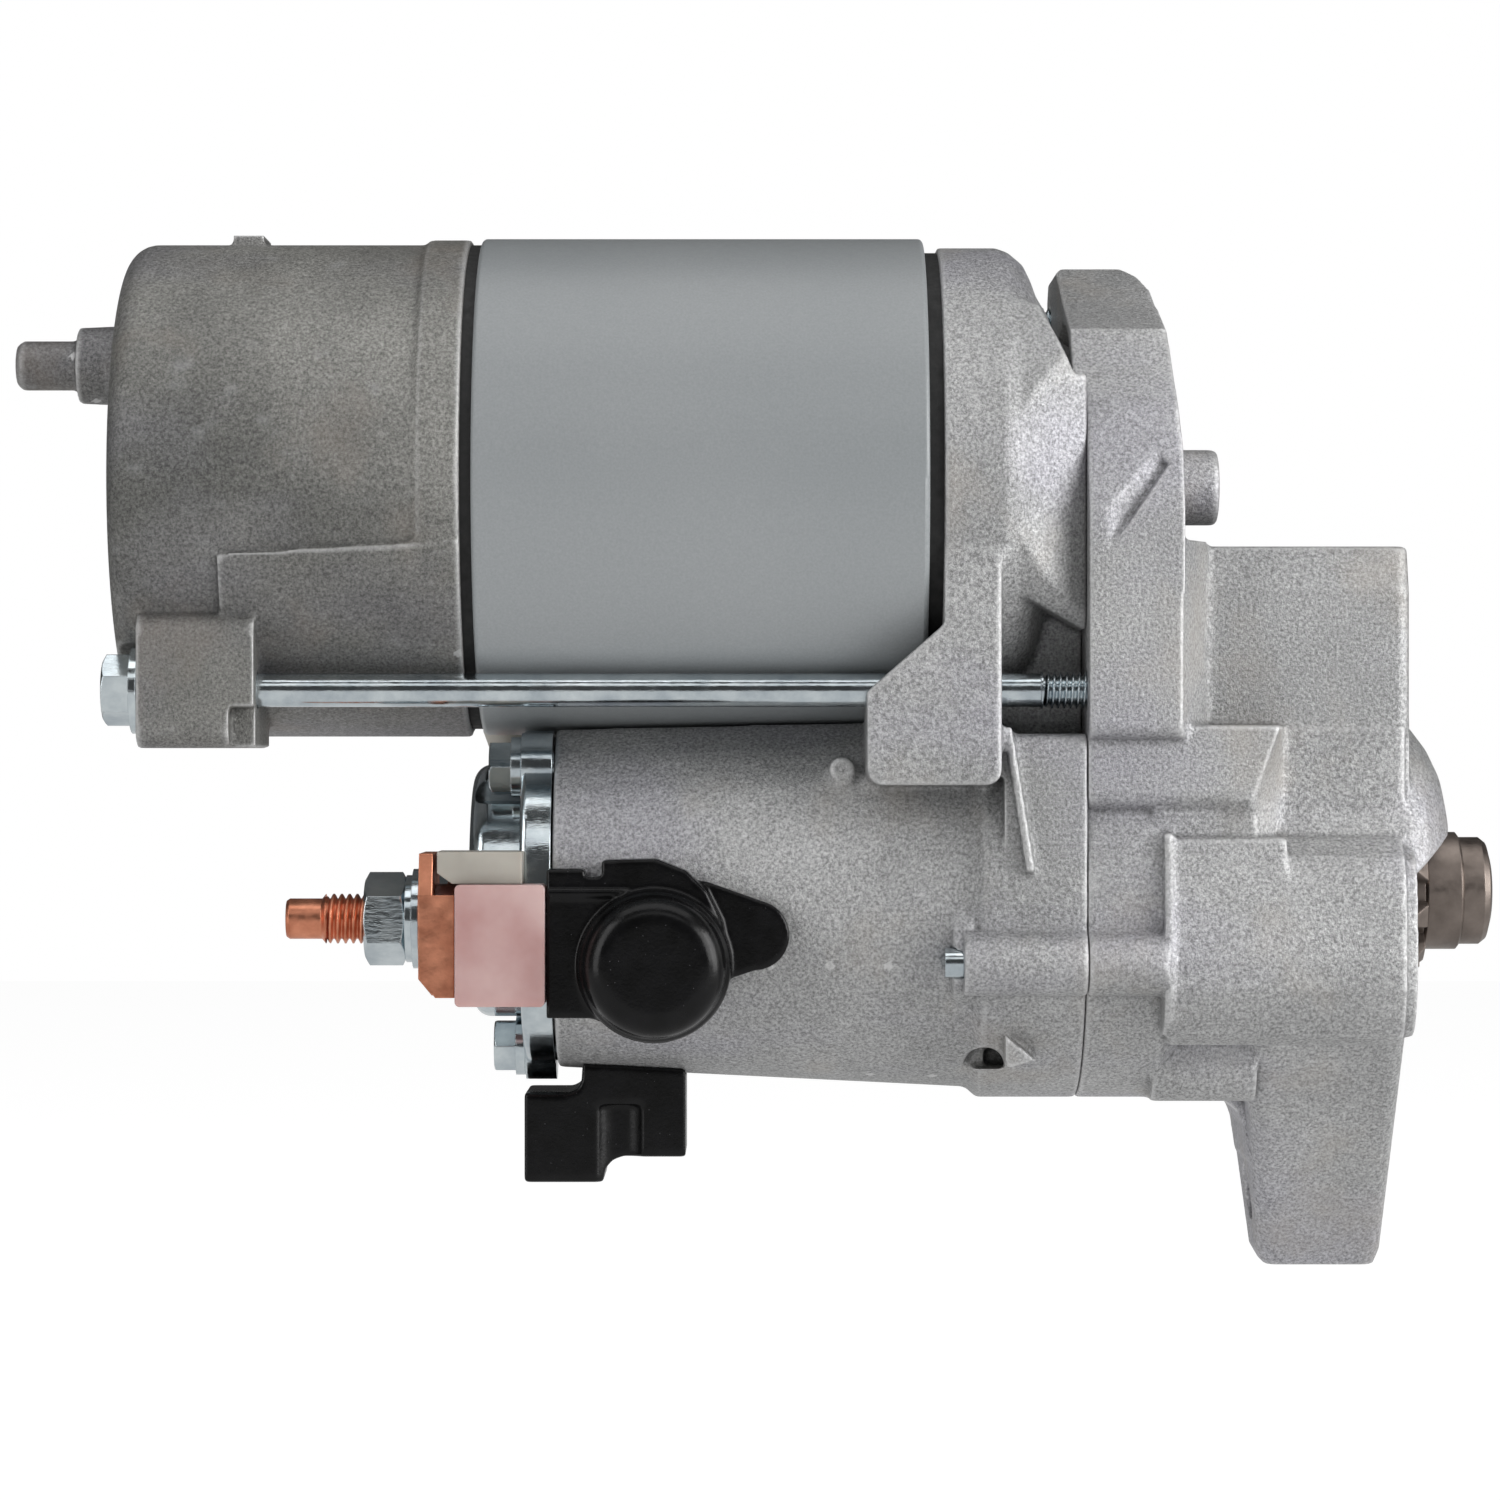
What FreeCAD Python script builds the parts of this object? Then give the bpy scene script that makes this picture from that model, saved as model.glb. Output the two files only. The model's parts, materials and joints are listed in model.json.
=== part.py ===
import FreeCAD, Part
import math
import os
import re
import Sketcher
from FreeCAD import Placement, Rotation, Vector

# Starter motor with an offset gear reduction. Millimetres.
# Origin: centre of the pinion axis in the mounting face. +X: the way the pinion is thrown,
# towards the flywheel. +Z: from the pinion axis up to the motor axis.

doc = FreeCAD.newDocument("starter_motor")
dims = doc.addObject("Spreadsheet::Sheet", "dims")

SIZES = [
    # shared axes and planes
    ("motor_z", 67.1, "motor axis above the pinion axis"),
    ("idler_y", 6.02, "idler axis sideways"),
    ("idler_z", 42.45, "idler axis above the pinion axis"),
    ("joint_x", -52.7, "plane where the two gear case castings meet"),
    ("stroke", 18, "pinion throw"),
    # through bolts
    ("bolt_near_y", -29.4, "near through bolt"),
    ("bolt_near_z", 33.0, "near through bolt"),
    ("bolt_far_y", 33.4, "far through bolt"),
    ("bolt_far_z", 97.2, "far through bolt"),
    ("bolt_shank_r", 2.7, "M6 bolt, rolled shank"),
    ("bolt_thread_r", 3.0, "M6 thread"),
    ("bolt_head_x", -210.2, "rear of the bolt heads"),
    ("bolt_seat_x", -204.3, "face the bolt heads press on"),
    ("bolt_seat_r", 7.5, "spot face under the bolt heads"),
    ("bolt_end_x", -43.0, "front end of the bolts"),
    # motor
    ("yoke_r", 41.2, "yoke outside radius"),
    ("yoke_bore_r", 37.8, "yoke inside radius"),
    ("yoke_x", -150.8, "rear end of the yoke"),
    ("yoke_end_x", -78.1, "front end of the yoke"),
    ("lead_r", 2.0, "motor lead radius"),
    ("lead_x", -148.2, "motor lead where it enters the yoke"),
    ("lead_y", 24.0, "motor lead where it enters the yoke"),
    ("frame_r", 40.2, "end frame radius"),
    ("band_r", 41.0, "end frame raised band radius"),
    ("frame_x", -209.0, "rear face of the end frame"),
    ("frame_end_x", -152.6, "front face of the end frame"),
    ("core_r", 30.0, "armature core radius"),
    ("magnet_r", 30.7, "magnet inside radius"),
    ("commutator_r", 15.0, "commutator radius"),
    ("armature_shaft_r", 6.0, "armature shaft radius"),
    ("motor_bearing_r", 14.0, "front armature bearing outside radius"),
    ("rear_bearing_r", 11.0, "rear armature bearing outside radius"),
    ("rear_journal_r", 5.0, "rear armature journal radius"),
    # gears
    ("gear_module", 1.75, "reduction gear module"),
    ("gear_x", -62.0, "rear face of the gears"),
    ("gear_end_x", -46.0, "front face of the gears"),
    ("gear_play", 0.12, "tooth thinning at the pitch circle"),
    ("pinion_module", 2.54, "pinion module"),
    # castings
    ("rim_x", -75.8, "rear face of the centre housing rim"),
    ("rim_r", 39.7, "rim radius"),
    ("neck_r", 23.0, "gear case radius about the motor axis at the joint"),
    ("chamber_r", 34.3, "clutch chamber outside radius"),
    ("chamber_bore_r", 30.8, "clutch chamber inside radius"),
    ("cavity_x", -64.0, "rear of the gear cavity"),
    ("gear_room_r", 14.6, "cavity round the armature gear"),
    ("pin_r", 2.38, "dowel pin radius"),
    ("pin_z", -10.6, "dowel pins below the pinion axis"),
    ("pin_boss_r", 5.3, "dowel pin boss radius"),
    ("cavity_end_x", -41.5, "front of the gear cavity"),
    ("coil_bore_r", 26.2, "solenoid bore in the centre housing"),
    ("barrel_x", -138.4, "rear end of the solenoid barrel"),
    ("nose_r", 29.0, "nose radius about the pinion axis"),
    ("nose_bore_r", 16.2, "nose opening for the pinion"),
    ("hole_r", 4.35, "mounting hole radius"),
    ("lower_hole_y", 15.0, "lower mounting hole"),
    ("lower_hole_z", -51.6, "lower mounting hole"),
    ("upper_hole_z", 46.0, "upper mounting hole"),
    # clutch and pinion
    ("race_r", 11.0, "inner race radius"),
    ("tube_bore_r", 9.3, "inner race bore at the return spring"),
    ("spline_minor_r", 6.4, "shaft spline minor radius"),
    ("spline_major_r", 7.4, "shaft spline major radius"),
    ("spline_gap", 0.08, "clearance round the spline"),
    ("roller_r", 3.1, "clutch roller radius"),
    ("roller_circle_r", 14.2, "clutch roller circle radius"),
    ("clutch_bearing_r", 17.0, "clutch front bearing outside radius"),
    ("clutch_rear_bearing_r", 16.0, "clutch rear bearing outside radius"),
    ("pinion_x", -12.8, "rear of the pinion"),
    ("pinion_end_x", 4.7, "front of the pinion"),
    ("stopper_r", 9.75, "pinion stopper radius"),
    ("head_r", 8.9, "shaft head radius"),
    # solenoid
    ("plunger_r", 12.0, "plunger radius"),
    ("plunger_x", -125.0, "rear of the plunger"),
    ("plunger_end_x", -103.0, "front of the plunger"),
    ("rod_r", 4.0, "push rod radius"),
    ("coil_sleeve_r", 12.06, "bobbin bore radius"),
    ("cover_plate_r", 28.8, "rear cover plate radius"),
    ("pan_r", 21.0, "rear cover pan radius"),
    ("cover_x", -143.8, "rear face of the cover plate"),
    ("pan_x", -152.4, "rear face of the pan"),
    ("terminal_y", -28.0, "battery terminal axis"),
    ("terminal_z", -3.7, "battery terminal axis"),
    ("terminal_r", 4.0, "M8 battery stud radius"),
    ("terminal_pitch_r", 3.6, "M8 pitch radius, where stud and nut threads meet"),
]
for row, (alias, value, meaning) in enumerate(SIZES, start=1):
    dims.set(f"A{row}", alias)
    dims.set(f"B{row}", str(value))
    dims.set(f"C{row}", meaning)
    dims.setAlias(f"B{row}", alias)
doc.recompute()
KNOWN = {alias: value for alias, value, meaning in SIZES}
X_AXIS = Rotation(Vector(0, 1, 0), 90)
Y_AXIS = Rotation(Vector(1, 0, 0), -90)


def linked(text):
    """The text with each size name pointing at its cell in the sheet."""
    return re.sub(r"[a-z][a-z_0-9]*", lambda m: "dims." + m[0] if m[0] in KNOWN else m[0], str(text))


def value_of(text):
    """A length in millimetres from a number or a sum of size names."""
    terms = re.findall(r"([+-]?)\s*([a-z_][a-z_0-9]*|[0-9.]+)(?:\s*\*\s*([0-9.]+))?", str(text))
    total = 0.0
    for sign, term, factor in terms:
        number = getattr(dims, term) if term in KNOWN else float(term)
        total += (-1 if sign == "-" else 1) * float(number) * float(factor or 1)
    return total


def bind(item, prop, text):
    item.setExpression(prop, linked(text))


def rod(name, radius, x0, x1, y=0, z=0):
    """Cylinder along X."""
    item = doc.addObject("Part::Cylinder", name)
    item.Placement = Placement(Vector(value_of(x0), value_of(y), value_of(z)), X_AXIS)
    bind(item, "Radius", radius)
    bind(item, "Height", f"({x1}) - ({x0})")
    bind(item, "Placement.Base.x", x0)
    bind(item, "Placement.Base.y", y)
    bind(item, "Placement.Base.z", z)
    return item


def cone(name, radius0, radius1, x0, x1, y=0, z=0):
    """Cone along X."""
    item = doc.addObject("Part::Cone", name)
    item.Placement = Placement(Vector(value_of(x0), value_of(y), value_of(z)), X_AXIS)
    bind(item, "Radius1", radius0)
    bind(item, "Radius2", radius1)
    bind(item, "Height", f"({x1}) - ({x0})")
    bind(item, "Placement.Base.x", x0)
    bind(item, "Placement.Base.y", y)
    bind(item, "Placement.Base.z", z)
    return item


def block(name, x, y, z):
    """Box from three (low, high) pairs."""
    item = doc.addObject("Part::Box", name)
    for prop, (low, high) in (("Length", x), ("Width", y), ("Height", z)):
        bind(item, prop, f"({high}) - ({low})")
    for letter, (low, high) in (("x", x), ("y", y), ("z", z)):
        bind(item, f"Placement.Base.{letter}", low)
    return item


def pillar(name, radius, x, y0, y1, z):
    """Cylinder along Y."""
    item = doc.addObject("Part::Cylinder", name)
    item.Placement = Placement(Vector(value_of(x), value_of(y0), value_of(z)), Y_AXIS)
    bind(item, "Radius", radius)
    bind(item, "Height", f"({y1}) - ({y0})")
    bind(item, "Placement.Base.x", x)
    bind(item, "Placement.Base.y", y0)
    bind(item, "Placement.Base.z", z)
    return item


def fuse(name, *shapes):
    item = doc.addObject("Part::MultiFuse", name)
    item.Shapes = list(shapes)
    return item


def cut(name, base, *tools):
    item = doc.addObject("Part::Cut", name)
    item.Base = base
    item.Tool = tools[0] if len(tools) == 1 else fuse(name + "_tools", *tools)
    return item


def common(name, *shapes):
    item = doc.addObject("Part::MultiCommon", name)
    item.Shapes = list(shapes)
    return item


def group(name, shapes):
    """Loose solids kept together as one sub-part."""
    item = doc.addObject("Part::Compound", name)
    item.Links = list(shapes)
    return item


def sketch_on(body, role, points, name):
    """Closed outline of straight sides whose corners follow the sheet."""
    plane = [f for f in body.Origin.OriginFeatures if f.Role == role][0]
    sketch = body.newObject("Sketcher::SketchObject", name)
    sketch.AttachmentSupport = [(plane, "")]
    sketch.MapMode = "FlatFace"
    corners = [(value_of(a), value_of(b)) for a, b in points]
    count = len(corners)
    for i, (a, b) in enumerate(corners):
        c, d = corners[(i + 1) % count]
        sketch.addGeometry(Part.LineSegment(Vector(a, b, 0), Vector(c, d, 0)))
    for i in range(count):
        sketch.addConstraint(Sketcher.Constraint("Coincident", i, 2, (i + 1) % count, 1))
    for i, texts in enumerate(points):
        for kind, text in zip(("DistanceX", "DistanceY"), texts):
            number = sketch.addConstraint(Sketcher.Constraint(kind, -1, 1, i, 1, value_of(text)))
            if re.search("[a-z]", str(text)):
                sketch.setExpression(f"Constraints[{number}]", linked(text))
    return sketch


def turned(name, points, y=0, z=0):
    """Solid turned about an axis along X from (x, radius) corners."""
    body = doc.addObject("PartDesign::Body", name)
    doc.recompute()
    sketch = sketch_on(body, "XZ_Plane", points, name + "_outline")
    feature = body.newObject("PartDesign::Revolution", name + "_turn")
    feature.Profile = sketch
    feature.ReferenceAxis = (sketch, ["H_Axis"])
    feature.Angle = 360
    bind(body, "Placement.Base.y", y)
    bind(body, "Placement.Base.z", z)
    return body


def plate(name, points, low, high, across="x"):
    """Pad of an outline: (y, z) corners between two x, (x, z) between two y, (x, y) between two z."""
    body = doc.addObject("PartDesign::Body", name)
    doc.recompute()
    role = {"x": "YZ_Plane", "y": "XZ_Plane", "z": "XY_Plane"}[across]
    sketch = sketch_on(body, role, points, name + "_outline")
    feature = body.newObject("PartDesign::Pad", name + "_pad")
    feature.Profile = sketch
    bind(feature, "Length", f"({high}) - ({low})")
    bind(body, f"Placement.Base.{across}", high if across == "y" else low)
    return body


def rounded(name, base, radius, pick):
    """Fillet on the edges that the pick accepts."""
    doc.recompute()
    item = doc.addObject("Part::Fillet", name)
    item.Base = base
    item.Edges = [
        (i, radius, radius) for i, edge in enumerate(base.Shape.Edges, start=1) if pick(edge)
    ]
    return item


def along(axis):
    """Accepts straight edges along one axis."""
    def pick(edge):
        if edge.Curve.TypeId != "Part::GeomLine":
            return False
        return abs(getattr(edge.Curve.Direction, axis)) > 0.999
    return pick


def ring_at(x, radius):
    """Accepts full circles of one radius at one place along X."""
    def pick(edge):
        curve = edge.Curve
        if curve.TypeId != "Part::GeomCircle":
            return False
        return abs(curve.Radius - radius) < 0.05 and abs(curve.Center.x - x) < 0.05
    return pick


def made(name, shape, y=0, z=0):
    """Sub-part whose shape is worked out here from sizes in the sheet."""
    item = doc.addObject("Part::Feature", name)
    item.Shape = shape
    item.Placement = Placement(Vector(0, value_of(y), value_of(z)), Rotation()).multiply(shape.Placement)
    return item


def polar(radius, angle):
    return Vector(0, radius * math.cos(angle), radius * math.sin(angle))


def involute(base, radius):
    """Angle the involute of a base circle has turned through at a radius."""
    if radius <= base:
        return 0.0
    lift = math.sqrt((radius / base) ** 2 - 1)
    return lift - math.atan(lift)


def toothed(teeth, module, pressure, play, x0, x1, phase):
    """Spur gear solid about the X axis with a tooth centred at the phase angle."""
    pitch = teeth * module / 2
    tip = pitch + module
    root = pitch - 1.25 * module
    base = pitch * math.cos(math.radians(pressure))
    half = math.pi / (2 * teeth) - play / (2 * pitch) + involute(base, pitch)
    foot = half - involute(base, root)
    start = max(base, root)
    radii = [start + (tip - start) * i / 4 for i in range(5)]
    edges = []
    for i in range(teeth):
        middle = phase + 2 * math.pi * i / teeth
        low = [polar(r, middle - half + involute(base, r)) for r in radii]
        high = [polar(r, middle + half - involute(base, r)) for r in radii]
        foot_low = polar(root, middle - foot)
        foot_high = polar(root, middle + foot)
        if start > root:
            edges.append(Part.LineSegment(foot_low, low[0]).toShape())
        rising = Part.BSplineCurve()
        rising.interpolate(low)
        edges.append(rising.toShape())
        edges.append(Part.Arc(low[-1], polar(tip, middle), high[-1]).toShape())
        falling = Part.BSplineCurve()
        falling.interpolate(high[::-1])
        edges.append(falling.toShape())
        if start > root:
            edges.append(Part.LineSegment(high[0], foot_high).toShape())
        gap = middle + math.pi / teeth
        following = polar(root, middle + 2 * math.pi / teeth - foot)
        edges.append(Part.Arc(foot_high, polar(root, gap), following).toShape())
    outline = Part.Wire(Part.__sortEdges__(edges))
    solid = Part.Face(outline).extrude(Vector(x1 - x0, 0, 0))
    solid.translate(Vector(x0, 0, 0))
    return solid


def splined(count, minor, major, fraction, x0, x1):
    """Straight-sided spline solid about the X axis."""
    corners = []
    for i in range(count):
        middle = 2 * math.pi * i / count
        half = fraction * math.pi / count
        corners += [polar(minor, middle - half * 1.15), polar(major, middle - half)]
        corners += [polar(major, middle + half), polar(minor, middle + half * 1.15)]
    solid = Part.Face(Part.makePolygon(corners + corners[:1])).extrude(Vector(x1 - x0, 0, 0))
    solid.translate(Vector(x0, 0, 0))
    return solid


def coil(mean, wire, length, turns):
    """Round-wire helical spring along +Z from the origin, its ends inside the length."""
    rise = length - 2 * wire
    helix = Part.makeHelix(rise / turns, rise, mean)
    start = Part.Wire(Part.makeCircle(wire, Vector(mean, 0, 0), Vector(0, 1, 0)))
    spring = Part.Wire(helix).makePipeShell([start], True, True)
    spring.translate(Vector(0, 0, wire))
    return spring


def x_tube(radius, bore, x0, x1):
    """Plain ring solid about the X axis."""
    outer = Part.makeCylinder(radius, x1 - x0, Vector(x0, 0, 0), Vector(1, 0, 0))
    return outer.cut(Part.makeCylinder(bore, x1 - x0, Vector(x0, 0, 0), Vector(1, 0, 0)))


def corner_solid(a, b, c, d):
    """Solid with four corners."""
    sides = ((a, b, c), (a, b, d), (b, c, d), (a, c, d))
    faces = [Part.Face(Part.makePolygon([*side, side[0]])) for side in sides]
    return Part.makeSolid(Part.makeShell(faces))


def round_outline(x0, x1, y0, y1, z, radius):
    """Level rectangle with rounded corners."""
    left, right = x0 + radius, x1 - radius
    near, far = y0 + radius, y1 - radius
    spots = [(right, far), (left, far), (left, near), (right, near)]
    edges = []
    for i, (x, y) in enumerate(spots):
        start, middle, end = (
            Vector(x, y, z) + radius * Vector(math.cos(a), math.sin(a), 0)
            for a in (math.pi / 2 * i, math.pi / 2 * i + math.pi / 4, math.pi / 2 * (i + 1))
        )
        edges.append(Part.Arc(start, middle, end).toShape())
    sides = []
    for arc, following in zip(edges, edges[1:] + edges[:1]):
        sides += [arc, Part.LineSegment(arc.Vertexes[-1].Point, following.Vertexes[0].Point).toShape()]
    return Part.Wire(sides)


def hexagon(name, across_flats, x0, x1, y, z, turn=0):
    """Hexagonal prism along X: corners up and down at turn 0, flats up and down at turn 30."""
    item = doc.addObject("Part::Prism", name)
    item.Polygon = 6
    place = Vector(value_of(x0), value_of(y), value_of(z))
    item.Placement = Placement(place, X_AXIS.multiply(Rotation(Vector(0, 0, 1), turn)))
    bind(item, "Circumradius", f"({across_flats}) / 1.7320508")
    bind(item, "Height", f"({x1}) - ({x0})")
    bind(item, "Placement.Base.x", x0)
    bind(item, "Placement.Base.y", y)
    bind(item, "Placement.Base.z", z)
    return item


def hex_head(name, across_flats, x0, x1, y, z, turn=0, both=True):
    """Hexagon whose corners are turned off at the rear end, or at both ends."""
    flat_r = across_flats / 2 * 0.97
    tip_r = across_flats / 2 * 1.17
    slope = (tip_r - flat_r) * 0.55
    front = [(f"{x1} - {slope}", tip_r), (x1, flat_r)] if both else [(x1, tip_r)]
    limit = turned(
        name + "_limit", [(x0, 0), (x0, flat_r), (f"{x0} + {slope}", tip_r), *front, (x1, 0)], y, z
    )
    return common(name, hexagon(name + "_hex", across_flats, x0, x1, y, z, turn), limit)


def ball_bearing(name, outer, inner, x0, x1, balls, y=0, z=0):
    """Deep-groove ball bearing: two races and a ring of balls, as loose solids."""
    outer = value_of(outer) - 0.02
    inner = value_of(inner) + 0.03
    x0 = value_of(x0)
    x1 = value_of(x1)
    gap = outer - inner
    middle = Vector((x0 + x1) / 2, 0, 0)
    pitch = (outer + inner) / 2
    groove = Part.makeTorus(pitch, gap * 0.26, middle, Vector(1, 0, 0))
    solids = [
        x_tube(outer, outer - gap * 0.3, x0, x1).cut(groove),
        x_tube(inner + gap * 0.3, inner, x0, x1).cut(groove),
    ]
    for i in range(balls):
        spot = polar(pitch, 2 * math.pi * i / balls)
        solids.append(Part.makeSphere(gap * 0.24, middle + spot))
    return made(name, Part.makeCompound(solids), y, z)


PARTS = []


def part(item, label):
    item.Label = label
    PARTS.append(item)
    return item


# --- motor: yoke, seals, magnets ------------------------------------------------------------
yoke_wall = cut(
    "yoke_wall",
    rod("yoke_outside", "yoke_r", "yoke_x", "yoke_end_x", 0, "motor_z"),
    rod("yoke_inside", "yoke_bore_r", "yoke_x - 1", "yoke_end_x + 1", 0, "motor_z"),
)
yoke_rounded = rounded(
    "yoke_rounded", yoke_wall, 0.8, lambda e: ring_at(-150.8, 41.2)(e) or ring_at(-78.1, 41.2)(e)
)
lead_hole = doc.addObject("Part::Cylinder", "lead_hole")
bind(lead_hole, "Radius", "lead_r + 0.2")
bind(lead_hole, "Height", 14)
bind(lead_hole, "Placement.Base.x", "lead_x")
bind(lead_hole, "Placement.Base.y", "lead_y")
bind(lead_hole, "Placement.Base.z", 28)
part(cut("yoke_done", yoke_rounded, lead_hole), "yoke")
part(
    cut(
        "rear_seal_ring",
        rod("rear_seal_outside", "frame_r", "frame_end_x", "yoke_x", 0, "motor_z"),
        rod("rear_seal_inside", "yoke_bore_r", "frame_end_x - 1", "yoke_x + 1", 0, "motor_z"),
    ),
    "yoke_seal_rear",
)
part(
    cut(
        "front_seal_ring",
        rod("front_seal_outside", "rim_r - 0.8", "yoke_end_x", "rim_x", 0, "motor_z"),
        rod("front_seal_inside", "yoke_bore_r", "yoke_end_x - 1", "rim_x + 1", 0, "motor_z"),
    ),
    "yoke_seal_front",
)
magnet_ring = x_tube(value_of("yoke_bore_r - 0.02"), value_of("magnet_r"), -146, -88)
magnets = []
for pole in range(6):
    start = pole * 60 + 4
    wedge = Part.makeCylinder(45, 70, Vector(-150, 0, 0), Vector(1, 0, 0), 52)
    wedge.rotate(Vector(0, 0, 0), Vector(1, 0, 0), start)
    magnets.append(magnet_ring.common(wedge))
part(made("magnets", Part.makeCompound(magnets), 0, "motor_z"), "field_magnets")

# --- end frame ------------------------------------------------------------------------------
frame_solid = turned(
    "frame_solid",
    [
        ("frame_x - 0.6", 0), ("frame_x", 28), ("frame_x", "frame_r"), (-160.0, "frame_r"),
        (-159.4, "band_r"), ("frame_end_x", "band_r"), ("frame_end_x", 0),
    ],
    0, "motor_z",
)
frame_shell = rounded("frame_shell", frame_solid, 4.5, ring_at(-209.0, 40.2))
frame_pad = common(
    "frame_pad",
    rod("frame_pad_round", "band_r + 0.5", -191, "frame_end_x", 0, "motor_z"),
    plate("frame_pad_side", [(-191, 22), (-152, 22), (-152, 56.6), (-191, 54.4)], -45, 0, "y"),
)
near_frame_ear = rounded(
    "near_frame_ear",
    plate(
        "near_frame_ear_block",
        [(-37, 23.7), (-12, 23.7), (-12, 45.3), (-37, 45.3)],
        "bolt_seat_x", -185.5,
    ),
    3.5,
    lambda e: along("x")(e) and e.CenterOfMass.y < -30,
)
far_frame_ear = rounded(
    "far_frame_ear",
    plate("far_frame_ear_block", [(14, 87), (41, 87), (41, 106.2), (14, 106.2)], "bolt_seat_x", -185.5),
    3.5,
    lambda e: along("x")(e) and e.CenterOfMass.y > 30,
)
stub = turned(
    "stub",
    [(-228.6, 0), (-228.6, 3.2), (-227.6, 4.1), (-218.3, 4.1), (-218.3, 6.3), (-207, 6.8), (-207, 0)],
    0, 87.4,
)
frame_body = fuse(
    "frame_body", frame_shell, frame_pad, near_frame_ear, far_frame_ear, stub,
    block("frame_lug", (-192, -187), (-6, 6), ("motor_z + 36", "motor_z + 41.4")),
)
frame_hollow = rod("frame_hollow", 36.5, -203, "frame_end_x + 1", 0, "motor_z")
frame_bearing_boss = cut(
    "frame_bearing_boss",
    rod("frame_boss_outside", 14.5, -203.5, -196, 0, "motor_z"),
    rod("frame_boss_inside", "rear_bearing_r", -203, -195, 0, "motor_z"),
)
frame_hollowed = cut("frame_hollowed", frame_body, frame_hollow)
part(
    cut(
        "frame_done",
        fuse("frame_with_boss", frame_hollowed, frame_bearing_boss),
        rod("frame_near_hole", "bolt_shank_r + 0.4", -212, -180, "bolt_near_y", "bolt_near_z"),
        rod("frame_far_hole", "bolt_shank_r + 0.4", -212, -180, "bolt_far_y", "bolt_far_z"),
        rod("frame_near_seat", "bolt_seat_r", -216, "bolt_seat_x", "bolt_near_y", "bolt_near_z"),
        rod("frame_far_seat", "bolt_seat_r", -216, "bolt_seat_x", "bolt_far_y", "bolt_far_z"),
        block("frame_ear_slot", (-189.5, -184), (-38, -34), (23, 30.2)),
    ),
    "end_frame",
)

# --- brush gear -----------------------------------------------------------------------------
BRUSHES = 4
plate_solid = x_tube(36.0, 19.0, -191.5, -190.0)
cages = []
brush_solids = []
spring_solids = []
for i in range(BRUSHES):
    cage = Part.makeBox(15.5, 15.5, 11.0, Vector(-190.0, -7.75, 20.2))
    cage = cage.cut(Part.makeBox(12.6, 13.1, 14.0, Vector(-188.6, -6.55, 19.0)))
    cage = cage.fuse(Part.makeBox(15.5, 15.5, 1.2, Vector(-190.0, -7.75, 30.8)))
    brush = Part.makeBox(12.4, 13.0, 12.0, Vector(-188.5, -6.5, 15.25))
    brush = brush.cut(Part.makeCylinder(15.05, 20, Vector(-192, 0, 0), Vector(1, 0, 0)))
    spring = coil(3.0, 0.45, 3.4, 3)
    spring.translate(Vector(-182.3, 0, 27.3))
    for solids, shape in ((cages, cage), (brush_solids, brush), (spring_solids, spring)):
        shape.rotate(Vector(0, 0, 0), Vector(1, 0, 0), 45 + 360 / BRUSHES * i)
        solids.append(shape)
part(made("holder", plate_solid.multiFuse(cages).removeSplitter(), 0, "motor_z"), "brush_holder")
part(made("brush_set", Part.makeCompound(brush_solids), 0, "motor_z"), "brushes")
part(made("brush_coils", Part.makeCompound(spring_solids), 0, "motor_z"), "brush_springs")

# --- armature -------------------------------------------------------------------------------
armature_shaft = turned(
    "armature_shaft",
    [
        (-202.5, 0), (-202.5, "rear_journal_r"), (-195, "rear_journal_r"), (-195, "armature_shaft_r"),
        (-44, "armature_shaft_r"), (-44, 0),
    ],
    0, "motor_z",
)
part(armature_shaft, "armature_shaft")
core = x_tube(value_of("core_r"), value_of("armature_shaft_r"), -146, -90)
slots = []
for i in range(15):
    slot = Part.makeBox(56.0, 3.4, 9.0, Vector(-146, -1.7, 19.5))
    mouth = Part.makeBox(56.0, 1.6, 6.0, Vector(-146, -0.8, 26))
    slot = slot.fuse(mouth)
    slot.rotate(Vector(0, 0, 0), Vector(1, 0, 0), 24 * i)
    slots.append(slot)
part(made("core", core.cut(Part.makeCompound(slots)), 0, "motor_z"), "armature_core")
wires = []
for i in range(15):
    wire_bar = Part.makeBox(56.0, 3.0, 8.0, Vector(-146, -1.5, 20.0))
    wire_bar.rotate(Vector(0, 0, 0), Vector(1, 0, 0), 24 * i)
    wires.append(wire_bar)
rear_turns = x_tube(28.0, 15.5, -162, -146)
front_turns = x_tube(28.0, 15.5, -90, -80)
windings = rear_turns.multiFuse([front_turns] + wires)
part(made("windings", windings, 0, "motor_z"), "armature_windings")
bars = []
for i in range(20):
    bar = x_tube(value_of("commutator_r"), 9.0, -190, -163)
    wedge = Part.makeCylinder(20, 30, Vector(-191, 0, 0), Vector(1, 0, 0), 16.5)
    wedge.rotate(Vector(0, 0, 0), Vector(1, 0, 0), 18 * i)
    bars.append(bar.common(wedge))
part(made("bars", Part.makeCompound(bars), 0, "motor_z"), "commutator_bars")
part(
    cut(
        "commutator_hub_ring",
        rod("commutator_hub_outside", 9.0, -190, -163, 0, "motor_z"),
        rod("commutator_hub_inside", "armature_shaft_r", -191, -162, 0, "motor_z"),
    ),
    "commutator_hub",
)
ball_bearing_rear = ball_bearing(
    "rear_bearing", "rear_bearing_r", "rear_journal_r", -202.9, -196, 8, 0, "motor_z"
)
part(ball_bearing_rear, "armature_bearing_rear")
part(
    ball_bearing("front_bearing", "motor_bearing_r", "armature_shaft_r", -75.5, -66.5, 8, 0, "motor_z"),
    "armature_bearing_front",
)

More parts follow.
